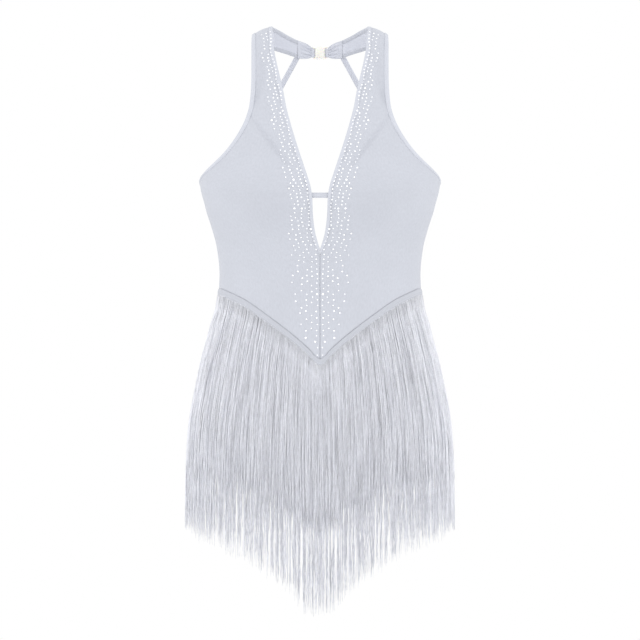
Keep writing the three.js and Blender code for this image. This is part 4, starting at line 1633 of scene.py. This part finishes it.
    def clasp(self, hook: bool) -> Draft:
        """One half of the clasp.

        Args:
            hook: whether it is the half with the face plate.

        Returns:
            The draft.
        """
        half, near, x = self.tall / 2, self.face_at, self.face_half
        if hook:
            parts = [
                self.block((-x, x), (near, near + 1.7), (-half, half), 0.55),
                self.block((x - 1.8, x - 0.2), (near + 0.4, 2.6), (-4.5, 4.5), 0.35),
                self.block((-0.6, x - 0.4), (1.2, 2.6), (-4.6, 4.6), 0.35),
                *self.bow(-1, x - 1.4, (near + 0.3, 0.9)),
            ]
            deep, tall = (near - 0.16, near + 0.6), (-half + 1, half - 1)
            for at in self.RIBS:
                parts.append(self.block((at - self.rib_half, at + self.rib_half), deep, tall, 0.16))
        else:
            parts = [
                self.block((1.6, 3.6), (-1.1, 0.8), (-half + 0.05, half - 0.05), 0.4),
                *self.bow(1, 1.8, (-0.9, 0.7)),
            ]
        draft = Draft()
        for rings in parts:
            draft.add_tube(rings)
        return draft

    def build(self) -> None:
        """Builds the tabs and the clasp."""
        for side, shape in both_sides(self.tab()):
            piece = shape.build(f"neck_tab_{side}_cloth", [STRAP_KNIT_LIGHTENED])
            stand_for(piece, Slot.KNIT, f"neck_tab_{side}")
            rests = (f"front_{side}_cloth",)
            Declared(self.tab_flat, Held.GATHERED, rests, self.tab_area).say(piece)
        for name, hook in (("clasp_hook", True), ("clasp_loop", False)):
            piece = self.clasp(hook).build(f"{name}_half", [CREAM_PLASTIC])
            stand_for(piece, Slot.CLASP, name)


@dataclass
class ThinStraps:
    """The thin straps from the neck band to the back's top edge."""

    start: Span = (26.6, -32.7)
    start_out: float = 73.6
    end: Span = (129.5, -219)
    width: float = 7
    lap: float = 2.6
    settles: float = 26
    flat: Span = (10, 212)
    area: float = 1800
    steps: int = 70
    seed: int = 21

    # Pairs of (share across, height) round the strap's section, with its turned edges raised.
    SECTION = [
        (-0.5, -0.75), (-0.5, -0.25), (-0.47, 0.02), (-0.4, 0.1), (-0.31, 0.04), (-0.27, -0.16),
        (-0.2, -0.12), (0.0, -0.08), (0.2, -0.12), (0.27, -0.16), (0.31, 0.04), (0.4, 0.1),
        (0.47, 0.02), (0.5, -0.25), (0.5, -0.75), (0.46, -1.2), (0.3, -1.5), (0.0, -1.42),
        (-0.3, -1.5), (-0.46, -1.2),
    ]

    def rings(self) -> Grid:
        """The sections of the left strap."""
        line = unit(np.subtract(self.end, self.start))

        def on_back(x: Array, z: Array) -> Array:
            """The figure's depth behind, at a place seen from the back."""
            return FIGURE.point(math.pi - FIGURE.angle_at(x, z), z)[..., 1]

        t = np.linspace(0, 1, self.steps + 1)
        x = blend(self.start[0], self.end[0], t)
        z = blend(self.start[1], self.end[1], t)
        lift = on_back(*self.start) - self.start_out
        near = lift * np.exp(-(((self.start[1] - z) / self.settles) ** 2))
        sunk = (self.lap + 0.6) * smoothstep(t, 0.72, 0.92)
        edges = []
        for side in (-0.5, 0.5):
            px, pz = x - side * self.width * line[1], z + side * self.width * line[0]
            edges.append(np.stack([px, on_back(px, pz) - near - sunk, pz], axis=-1))
        pair = np.stack(edges, axis=1)
        normal = grid_normals(pair)[:, 0]
        middle, across = pair.mean(axis=1), pair[:, 1] - pair[:, 0]
        ripple = 0.1 * np.sin(np.linspace(0, 31, self.steps + 1))[:, None]
        return np.stack(
            [middle + across * u + normal * (h + ripple) for u, h in self.SECTION], axis=1
        )

    def build(self) -> None:
        """Builds both straps and their stitching."""
        rings = self.rings()
        normal = unit(rings[:, 7] - rings[:, 17])
        stitches = StitchRow(pitch=3.1, width=0.36).rows(rings, (5, 9), normal, self.seed)
        for side, shape, thread in both_sides(tube_draft(rings), stitches):
            rests = (f"neck_tab_{side}_cloth", "back_cloth")
            cut = Declared(self.flat, Held.HUNG, rests, self.area)
            sew(f"back_strap_{side}", "cloth", STRAP_KNIT_LIGHTENED, shape, thread, cut)


@dataclass
class BustBar:
    """The little bar that joins the two fronts above the keyhole."""

    level: float = -220
    tall: float = 7
    half: float = 14.5
    behind: float = 1.7
    cut_width: float = 10
    area: float = 240
    columns: int = 36
    seed: int = 31

    # Pairs of (share down, height) across the bar's face, with its two turned edges.
    SECTION = [
        (0.0, -0.5), (0.01, -0.12), (0.06, 0.1), (0.14, 0.14), (0.22, -0.1), (0.3, 0.04),
        (0.5, 0.1), (0.7, 0.04), (0.78, -0.1), (0.86, 0.14), (0.94, 0.1), (0.99, -0.12),
        (1.0, -0.5), (0.97, -1.2), (0.8, -1.4), (0.5, -1.45), (0.2, -1.4), (0.03, -1.2),
    ]

    def build(self) -> None:
        """Builds the bar and its stitching."""
        x = np.linspace(-self.half, self.half, self.columns + 1)
        edges = []
        for z in (self.level + self.tall / 2, self.level - self.tall / 2):
            point = FIGURE.point(FIGURE.angle_at(x, z), z)
            point[:, 0] = x
            edges.append(point)
        pair = np.stack(edges, axis=1)
        rings = swept(pair, [(v, h - self.behind) for v, h in self.SECTION])
        normal = grid_normals(pair)[:, 0]
        stitches = StitchRow(pitch=2.4, length=1.8).rows(rings, (4, 8), normal, self.seed)
        cut = Declared((2 * self.half, self.cut_width), Held.FOLDED, FRONT_CLOTHS, self.area)
        sew("bust_bar", "cloth", EDGE_KNIT, tube_draft(rings), stitches, cut)


# ---- the fringe ----


@dataclass
class FringeTier:
    """One tier of fringe: a sewn tape, and fine strands in layers that gather into locks."""

    name: str
    facing: Facing
    sink: int
    layers: int
    per_layer: int
    under: float
    flare: float
    seed: int
    bends: int = 14
    radius: float = 0.5
    thinned: float = 0.2
    ragged: float = 6
    most_ragged: float = 3.5
    gather: float = 0.3
    in_lock: float = 2.4
    loose: float = 0.55
    tapers: float = 0.97
    mottle: float = 0.14
    bunch: float = 0.0
    frizz: float = 0.05
    calm_edge: float = 8
    calm_locks: float = 12
    hip: float = -450
    low: float = -600
    stands_off: float = 6
    tape_tall: float = 11
    tape_thick: float = 1.2
    tape_turn: float = 1.5
    tape_off: float = 0.3
    side_lift: float = 16
    limit: float = math.pi / 2 - 0.002

    # The least and greatest size of a strand's long waves and of its short ones, and their pitch.
    WAVE = ((0.1, 0.5), (26, 44))
    CRIMP = ((0.05, 0.16), (5, 8))

    # From the middle to the side: an upper tier's length, and how far down a lower one is sewn on.
    UPPER_LENGTH = (223, 241)
    SECOND_ROOT = (58, 75)

    # The distances from the middle between which the hem rises to the side.
    LIFTED = (150, 178)

    # Pairs of (share down the tape, share of its thickness) round the tape's section.
    SECTION = [
        (0.0, -0.1), (0.01, 0.02), (0.06, 0.4), (0.14, 0.75), (0.3, 0.95), (0.48, 1.0), (0.54, 0.8),
        (0.6, 1.0), (0.84, 1.0), (0.94, 0.85), (1.0, 0.4), (0.97, 0.06), (0.5, 0.0), (0.03, 0.0),
    ]
    GROOVE = 6

    @property
    def front(self) -> bool:
        """Whether the tier is on the front."""
        return self.facing is Facing.FRONT

    def turned(self, angle: Array) -> Array:
        """An angle of the tier as one round from the middle front."""
        return angle if self.front else math.pi - angle

    def seam(self, angle: Array) -> Array:
        """The waist seam's level at the tier's angles."""
        return FIGURE.front_seam(angle) if self.front else FIGURE.back_seam(angle)

    def root(self, angle: Array) -> Array:
        """The level of the tape's top edge."""
        drop = blend(*self.SECOND_ROOT, np.abs(np.sin(angle)))
        return self.seam(angle) + 0.5 - self.sink * drop

    def end(self, angle: Array) -> Array:
        """The level at which the strands are cut."""
        if not self.sink:
            return self.seam(angle) - blend(*self.UPPER_LENGTH, np.abs(np.sin(angle)))
        across = np.abs(FIGURE.point(angle, self.low, self.stands_off)[..., 0])
        hem = HEM_AT(across) if self.front else np.full_like(angle, HEM[-1][1])
        return hem + self.side_lift * smoothstep(across, *self.LIFTED)

    def tape(self) -> tuple[Piece, Piece, Declared]:
        """Builds the tape, with a rolled lower edge, and its stitching, and finds its cut."""
        angle = np.linspace(-self.limit, self.limit, 151)
        turned, root = self.turned(angle), self.root(angle)
        rings = np.stack(
            [
                FIGURE.point(turned, root - v * self.tape_tall, self.tape_off + h * self.tape_thick)
                for v, h in self.SECTION
            ],
            axis=1,
        )
        normal = grid_normals(rings[:, 4 : self.GROOVE + 1])[:, 0]
        stitches = StitchRow().rows(rings, (self.GROOVE,), normal, self.seed + 100)
        tape = tube_draft(rings).build(f"{self.name}_tape", [TAPE_KNIT])
        stand_for(tape, Slot.KNIT)
        thread = stitches.build(f"{self.name}_stitches", [SEWING_THREAD])
        stand_for(thread, Slot.KNIT)
        size = (length_of(rings[:, self.GROOVE]), self.tape_tall + self.tape_turn)
        return tape, thread, Declared(size, Held.HUNG, self.rests_on())

    def rests_on(self) -> tuple[str, ...]:
        """The cloth that the tape is sewn on."""
        if self.sink:
            return (f"brief_{self.facing.name.lower()}_cloth",)
        return FRONT_CLOTHS if self.front else ("back_cloth",)

    def strands(self) -> Piece:
        """Builds the strands as one mesh."""
        rng = np.random.default_rng(self.seed)
        draft = Draft()
        _, run = self.round_hip()
        half = run[-1] - 0.3
        locks = int(self.per_layer / self.in_lock)
        lock_at = np.cumsum(rng.uniform(0.5, 1.5, locks))
        lock_at = half * (2 * lock_at / (lock_at[-1] + 0.5) - 1)
        lock_pull = rng.uniform(0.0, self.gather, locks)
        lock_sway = rng.normal(0, 0.6, locks)
        for layer in range(self.layers):
            share = np.arange(self.per_layer) + (layer + 0.5) / self.layers
            share = share + rng.uniform(-0.2, 0.2, self.per_layer)
            share = 2 * share / self.per_layer - 1
            place = half * ((1 - self.thinned) * share + self.thinned * share**3)
            lock = np.abs(place[:, None] - lock_at[None]).argmin(axis=1)
            calm = 1 - smoothstep(np.abs(place), half - self.calm_locks, half)
            pulled = (lock_at[lock], lock_pull[lock] * calm, lock_sway[lock] * calm)
            self.add_layer(draft, rng, layer, place, pulled)
        piece = draft.build(f"{self.name}_strands", [FRINGE_STRANDS])
        stand_for(piece, Slot.FRINGE, self.name)
        return piece

    def round_hip(self) -> Pair:
        """Angles across the tier, and how far from its middle each lies round the hip."""
        angle = np.linspace(-self.limit, self.limit, 721)
        run = run_along(FIGURE.point(angle, self.hip, self.stands_off))
        return angle, run - run[-1] / 2

    def add_layer(
        self, draft: Draft, rng: Generator, layer: int, place: Array, lock: Sequence[Array]
    ) -> None:
        """Adds one layer of strands.

        Args:
            draft: what to add them to.
            rng: the draws for their unevenness.
            layer: the layer's number, 0 being the outer one.
            place: how far from the middle each strand starts, round the hip.
            lock: the place, the pull and the sway of each strand's lock.
        """
        count = len(place)
        angles, run = self.round_hip()
        angle = np.interp(place, run, angles)
        t = np.linspace(0, 1, self.bends + 1)[None] ** 0.92
        foot = self.root(angle)[:, None] - self.tape_tall + 3
        drop = rng.uniform(-1.2, 0.6, count) + rng.exponential(1.0, count)
        drop = self.ragged * np.minimum(drop, self.most_ragged)
        cut = (self.end(angle) + drop)[:, None]
        level = blend(foot, cut, t)
        fall = foot - level
        # Drawn to the middle of a lock lower down, and of a bunch near the tape at the sides.
        gathered = lock[1][:, None] * smoothstep(t, 0.12, 0.95)
        bunched = self.bunch * smoothstep(np.abs(place) / run[-1], 0.15, 0.55)
        gathered = gathered + bunched[:, None] * (1 - smoothstep(t, 0.12, 0.5))
        gathered = gathered * (lock[0] - place)[:, None]
        # Long waves, crimp, stray ends, a lock's sway and frizz, all calmer at the side seam.
        phase = rng.uniform(0, 2 * np.pi, (4, count, 1))
        wave, crimp = (
            rng.uniform(*size, (count, 1)) * np.sin(fall / rng.uniform(*pitch, (count, 1)) + turned)
            for (size, pitch), turned in zip((self.WAVE, self.CRIMP), phase)
        )
        crimp = crimp * (1 + 4 * smoothstep(np.abs(angle), 1.2, 1.5)[:, None])
        calm = 1 - smoothstep(np.abs(place), run[-1] - self.calm_edge, run[-1])[:, None]
        stray = rng.normal(0, self.loose, (count, 1)) * smoothstep(t, 0.35, 1) * calm
        sway = lock[2][:, None] * self.loose * smoothstep(t, 0.3, 1)
        sideways = wave * smoothstep(t, 0, 0.6) + crimp * smoothstep(t, 0, 0.2) + stray + sway
        frizz = rng.normal(0, self.frizz, (count, t.shape[1]))
        sideways = sideways + frizz * smoothstep(t, 0.45, 0.8)
        turn = np.interp(place[:, None] + gathered + sideways * (0.3 + 0.7 * calm), run, angles)
        # How far each point stands off the figure, from the tape's face to the hanging layer.
        deep = self.under * (1 - self.flare * smoothstep(t, 0.45, 0.75)) + 0.65 * layer + 0.6
        deep = deep + rng.uniform(-0.3, 0.3, (count, 1)) + 0.2 * np.sin(fall / 19 + phase[2])
        hang = COVER_AT(level) - deep
        start = self.tape_off + (0.8 - 0.16 * layer) * self.tape_thick
        out = blend(start, np.maximum(hang, 1.3 - 0.2 * layer), smoothstep(t, 0.01, 0.16))
        # Rings of three points, square to the strand.
        centre = FIGURE.point(self.turned(turn), level, out)
        centre[:, 0, 2] = level[:, 0]
        along = unit(np.gradient(centre, axis=1))
        outward = FIGURE.point(self.turned(turn), level, out + 1) - centre
        side = unit(np.cross(along, outward))
        outward = unit(np.cross(side, along))
        spin = phase[3] + fall / rng.uniform(60, 120, (count, 1))
        thin = 1 + 0.3 * (1 - smoothstep(t, 0.02, 0.14)) - 0.6 * smoothstep(t, self.tapers, 1)
        thin = self.radius * rng.uniform(0.78, 1.12, (count, 1)) * thin
        rings = []
        for k in range(3):
            corner = spin + k * 2 * np.pi / 3
            right, out = (thin * wave(corner) for wave in (np.cos, np.sin))
            rings.append(centre + side * right[..., None] + outward * out[..., None])
        rings = np.stack(rings, axis=2)
        # Each strand's own tone at random, made darker by 0.06 for each layer inward: painted shade
        # for the inner layers.
        tone = np.clip(rng.normal(0.5, self.mottle, (count, 1, 1)) - 0.06 * layer, 0, 1)
        self.add_strands(draft, rings, np.broadcast_to(tone, rings.shape[:3]))

    @staticmethod
    def add_strands(draft: Draft, rings: Array, tone: Array) -> None:
        """Adds three-sided strands.

        Args:
            draft: what to add them to.
            rings: for each strand, its rings of three points.
            tone: light or dark of each point.
        """
        count, steps = rings.shape[:2]
        faces, i, j = quads(steps, 3)
        step = np.linalg.norm(np.diff(rings[:, :, 0], axis=1), axis=-1)
        length = np.concatenate([np.zeros((count, 1)), np.cumsum(step, axis=1)], axis=1)
        corner = np.stack([j, j + 1, j + 1, j], axis=1) * 1.6
        row = np.stack([i, i, i + 1, i + 1], axis=1)
        uvs = np.stack([np.broadcast_to(corner, (count, *faces.shape)), length[:, row]], axis=-1)
        draft.add_bodies(rings, uvs, tone)

    def build(self) -> None:
        """Builds the tier's tape, stitching and strands, and hands the tape's sheet to say, which
        does nothing.
        """
        tape, thread, cut = self.tape()
        cut.say(tape, [self.strands(), thread])


# ---- the stones ----


@dataclass
class Stones:
    """Flat-backed cut stones in loose rows down both sides of the neckline to the point."""

    seed: int = 5
    step: float = 0.3
    rows: int = 8
    radii: tuple[float, ...] = (1.0, 1.25, 1.6)
    shares: tuple[float, ...] = (0.58, 0.35, 0.07)
    waver: float = 0.75
    packed: float = 0.87
    jitter: float = 0.09
    seam_gap: float = 2.8
    waist_gap: float = 5
    sides: int = 8
    tones: Span = (0.25, 1.0)
    on_binding: float = 5.2
    binding_rise: float = 0.7

    # Rows of (level, the first row's distance from the edge, the last one's, how far apart).
    LAYOUT = [
        (-3, 3.8, 15.5, 4.5), (-30, 4.1, 16.5, 4.6), (-60, 4.5, 18.5, 4.7), (-95, 4.9, 22, 4.8),
        (-140, 4.9, 25, 5.0), (-212, 5.2, 29, 5.1), (-262, 5.2, 33, 5.4), (-292, 4.6, 38, 6.2),
        (-330, 4.2, 37, 7.3), (-360, 4.2, 34, 7.8), (-385, 4.2, 27, 8.0), (-404, 4.2, 19, 8.0),
        (-420, 3.4, 9, 8.0),
    ]

    def edge(self) -> Array:
        """Points across and up along the neckline and, below the keyhole, the middle seam."""
        level = np.arange(-4, FRONT_SEAM[0][1] + 4, -self.step)
        return np.stack([np.where(level > KEYHOLE_END, NECKLINE_AT(level), 0.0), level], axis=1)

    def draw_places(self) -> Array:
        """Draws the place of each stone on the left front, row by row from the edge.

        Returns:
            Where each stone lies across and up, and its radius.
        """
        rng = np.random.default_rng(self.seed)
        edge = self.edge()
        along = unit(np.gradient(edge, axis=0))
        off = np.stack([-along[:, 1], along[:, 0]], axis=1)
        off *= np.sign(off[:, :1])
        first, last, apart = (column(self.LAYOUT, k)(edge[:, 1]) for k in (1, 2, 3))
        found = np.zeros((0, 3))
        for row in range(self.rows):
            waver = self.waver * np.sin(edge[:, 1] / 6.1 + 1.9 * row)
            away = first + row * self.packed * apart + waver
            share = np.clip((away - first) / (last - first), 0, 2)
            line = edge + off * away[:, None]
            for k in range(int(rng.integers(6, 14)), len(line)):
                x, z = line[k]
                spread = apart[k] * (0.93 + 0.3 * share[k] ** 3)
                seam = float(FRONT_SEAM_AT(abs(x)))
                if share[k] > 1 or x < self.seam_gap or z - seam < self.waist_gap or z > -3:
                    continue
                if len(found) and np.hypot(found[:, 0] - x, found[:, 1] - z).min() < spread:
                    continue
                if rng.uniform() < 0.12 * max(0.0, share[k] - 0.5):
                    continue
                radius = rng.choice(self.radii, p=self.shares)
                shift = rng.normal(0, self.jitter * apart[k], 2)
                found = np.concatenate([found, [[x + shift[0], z + shift[1], radius]]])
        return found

    def gem(self, radius: float) -> tuple[Array, list[tuple]]:
        """The points of a stone of one size, and its faces with their finish.

        Args:
            radius: the girdle's radius.

        Returns:
            The points, and each group of faces with the number of its finish.
        """
        sides = self.sides
        turn = np.arange(sides) * 2 * np.pi / sides
        half = turn + np.pi / sides
        rings = [
            (turn, radius * 1.12, -0.05),
            (turn, radius * 1.02, 0.12 * radius),
            (half, radius * 0.8, 0.42 * radius),
            (turn, radius * 0.52, 0.58 * radius),
        ]
        points = np.concatenate(
            [
                np.stack([out * np.cos(a), out * np.sin(a), np.full(sides, high)], axis=1)
                for a, out, high in rings
            ]
        )
        a, b, c, d = np.arange(4 * sides).reshape(4, sides)
        a1, b1, c1, d1 = (np.roll(ring, -1) for ring in (a, b, c, d))
        # The rim round the girdle takes the dark finish: partly the foil's edge, partly painted
        # shade round the stone.
        foil = [(a, a1, b1, b)]
        glass = [(b, b1, c), (b1, c1, c), (c, c1, d1), (c, d1, d)]
        groups = [(np.stack(corners, axis=1), 1) for corners in foil]
        groups += [(np.stack(corners, axis=1), 0) for corners in glass]
        return points, [*groups, (d[None], 0), (a[::-1][None], 1)]

    def draft(self) -> Draft:
        """A draft of the left front's stones."""
        rng = np.random.default_rng(self.seed + 1)
        place, level, radius = self.draw_places().T
        angle = FIGURE.angle_at(place, level)
        point = FIGURE.point(angle, level)
        turn = unit(FIGURE.point(angle + 1e-3, level) - point)
        fall = unit(FIGURE.point(angle, level - 0.1) - point)
        normal = unit(np.cross(turn, fall))
        normal *= np.sign(-normal[:, 1:2])
        turn = unit(np.cross(fall, normal))
        centre_seam = np.where(point[:, 2] < KEYHOLE_END, point[:, 0], FAR)
        waist = point[:, 2] - FRONT_SEAM_AT(point[:, 0])
        inward = FrontPanel().relief.inward(point, [centre_seam, waist])
        lift = np.where(self.away(point) < self.on_binding, self.binding_rise, 0.03 - inward)
        centre = point + normal * lift[:, None]
        spin = rng.uniform(0, 2 * np.pi, len(level))
        tilt = rng.normal(0, 0.05, (len(level), 2))
        draft = Draft()
        for size in self.radii:
            chosen = np.flatnonzero(radius == size)
            shape, groups = self.gem(size)
            c, s = (wave(spin[chosen])[:, None, None] for wave in (np.cos, np.sin))
            across, down, up = (shape[None, :, k : k + 1] for k in range(3))
            x, y = c * across - s * down, s * across + c * down
            lean, tip = (tilt[chosen, k][:, None, None] for k in range(2))
            z = up + x * lean + y * tip
            at, right, below, out = (a[chosen][:, None] for a in (centre, turn, fall, normal))
            self.add_facets(draft, rng, at + x * right + y * below + z * out, groups)
        log.info("stones: %d on each front", len(level))
        return draft

    def add_facets(
        self, draft: Draft, rng: Generator, points: Array, groups: Sequence[tuple]
    ) -> None:
        """Adds stones of one size, each facet with a tone of its own.

        Args:
            draft: what to add them to.
            rng: the draws for the tones.
            points: the points of each stone.
            groups: the faces of a stone with their finish.
        """
        # The rim faces get the dark finish of foil and painted shade.
        (skirt, foil), *others = groups
        for stone in points:
            start = draft.count
            tone = rng.uniform(*self.tones, len(stone))
            draft.add(stone, skirt, np.zeros((skirt.size, 2)), tone, foil)
            for faces, finish in others:
                draft.cap(faces + start, finish)

    @staticmethod
    def away(point: Array) -> Array:
        """How far points lie from the neckline, measured level."""
        level = point[:, 2]
        return np.where(level > KEYHOLE_END, point[:, 0] - NECKLINE_AT(level), FAR)

    def build(self) -> dict[str, Piece]:
        """Builds the stones of both fronts.

        Returns:
            The stones by side.
        """
        made = {}
        for side, shape in both_sides(self.draft()):
            piece = shape.build(f"stones_{side}", [CUT_GLASS, STONE_RIM_FOIL_AND_SHADE], smooth=False)
            stand_for(piece, Slot.KNIT)
            made[side] = piece
        return made


# ---- the studio ----


@dataclass
class Studio:
    """A pale floor, soft light and a distant camera level with the dress."""

    lens: float = 1000
    frame_width: float = 832
    centre: float = -381
    floor_level: float = -950
    floor_radius: float = 1200
    ambient: float = 1.22

    # Rows of (name, place in metres, side in metres, power in watts).
    LAMPS = [
        ("key", (0, -2.9, 0.7), 2.6, 13),
        ("side_left", (2.6, -0.7, -0.2), 1.6, 7.5),
        ("side_right", (-2.6, -0.7, -0.2), 1.6, 7.5),
    ]

    def camera(self) -> None:
        """Sets the camera straight in front."""
        data = bpy.data.cameras.new("camera")
        data.lens = self.lens
        camera = bpy.data.objects.new("camera", data)
        distance = self.frame_width * self.lens / data.sensor_width
        camera.location = (0, -distance * MM, self.centre * MM)
        camera.rotation_euler = (math.pi / 2, 0, 0)
        data.clip_end = 100
        bpy.context.scene.collection.objects.link(camera)
        bpy.context.scene.camera = camera

    def lamp(self, name: str, place: tuple[float, float, float], size: float, power: float) -> None:
        """Sets a soft square lamp that looks at the dress.

        Args:
            name: its name.
            place: where it stands, in metres.
            size: its side, in metres.
            power: its power in watts.
        """
        data = bpy.data.lights.new(name, "AREA")
        data.size, data.energy = size, power
        lamp = bpy.data.objects.new(name, data)
        lamp.location = place
        aim = Vector((0, 0, self.centre * MM)) - Vector(place)
        lamp.rotation_euler = aim.to_track_quat("-Z", "Y").to_euler()
        bpy.context.scene.collection.objects.link(lamp)

    def world(self) -> None:
        """Fills the room with even pale light in front of a white backdrop."""
        world = bpy.data.worlds.new("studio")
        world.use_nodes = True
        nodes, links = world.node_tree.nodes, world.node_tree.links
        nodes.clear()
        seen = nodes.new("ShaderNodeLightPath").outputs["Is Camera Ray"]
        light, backdrop = nodes.new("ShaderNodeBackground"), nodes.new("ShaderNodeBackground")
        light.inputs["Color"].default_value = (0.985, 0.99, 1.0, 1)
        light.inputs["Strength"].default_value = self.ambient
        backdrop.inputs["Color"].default_value = (1, 1, 1, 1)
        mix = nodes.new("ShaderNodeMixShader")
        links.new(seen, mix.inputs[0])
        links.new(light.outputs[0], mix.inputs[1])
        links.new(backdrop.outputs[0], mix.inputs[2])
        links.new(mix.outputs[0], nodes.new("ShaderNodeOutputWorld").inputs[0])
        bpy.context.scene.world = world

    def floor(self) -> None:
        """Lays the floor."""
        rings, sides = 12, 96
        radius = np.linspace(0.02, 1, rings)[:, None] * self.floor_radius
        turn = np.linspace(0, 2 * np.pi, sides, endpoint=False)[None]
        level = np.full((rings, sides), self.floor_level)
        grid = np.stack([radius * np.cos(turn), radius * np.sin(turn), level], axis=-1)
        draft = Draft()
        draft.add_grid(grid, np.repeat(grid[:, :1, :2], sides + 1, axis=1), closed=True)
        floor = draft.build("floor", [FloorFinish("studio_floor", (0.9, 0.9, 0.9))])

    def build(self) -> None:
        """Builds the studio."""
        scene = bpy.context.scene
        scene.view_settings.view_transform = "Standard"
        scene.view_settings.look = "None"
        self.camera()
        self.world()
        self.floor()
        for lamp in self.LAMPS:
            self.lamp(*lamp)


TIERS = [
    *(
        FringeTier(
            f"fringe_{facing.name.lower()}_upper", facing, 0, 4, 400, 0.0, 0.0, seed,
            ragged=13, in_lock=3.4, bunch=0.34,
        )
        for facing, seed in ((Facing.FRONT, 41), (Facing.BACK, 43))
    ),
    *(
        FringeTier(
            f"fringe_{facing.name.lower()}_lower", facing, 1, 3, count, 1.4, 0.8, seed,
            radius=0.42, gather=0.85, in_lock=3.1, loose=1.0, ragged=8, tapers=0.88, mottle=0.45,
            frizz=0.5,
        )
        for facing, count, seed in ((Facing.FRONT, 300, 47), (Facing.BACK, 260, 44))
    ),
]


def main() -> None:
    """Builds the dress piece by piece in its studio."""
    logging.basicConfig(level=logging.INFO, format="%(name)s: %(message)s")
    Studio().build()
    panel = FrontPanel()
    fronts = panel.build()
    on = EdgeBindings().build()
    stones = Stones().build()
    for side, front in zip(("left", "right"), fronts):
        panel.declare(side, front, [*on[side], stones[side]])
    BackPanel().build()
    NeckFastening().build()
    ThinStraps().build()
    BustBar().build()
    Brief().build()
    for tier in TIERS:
        tier.build()


if __name__ == "__main__":
    main()
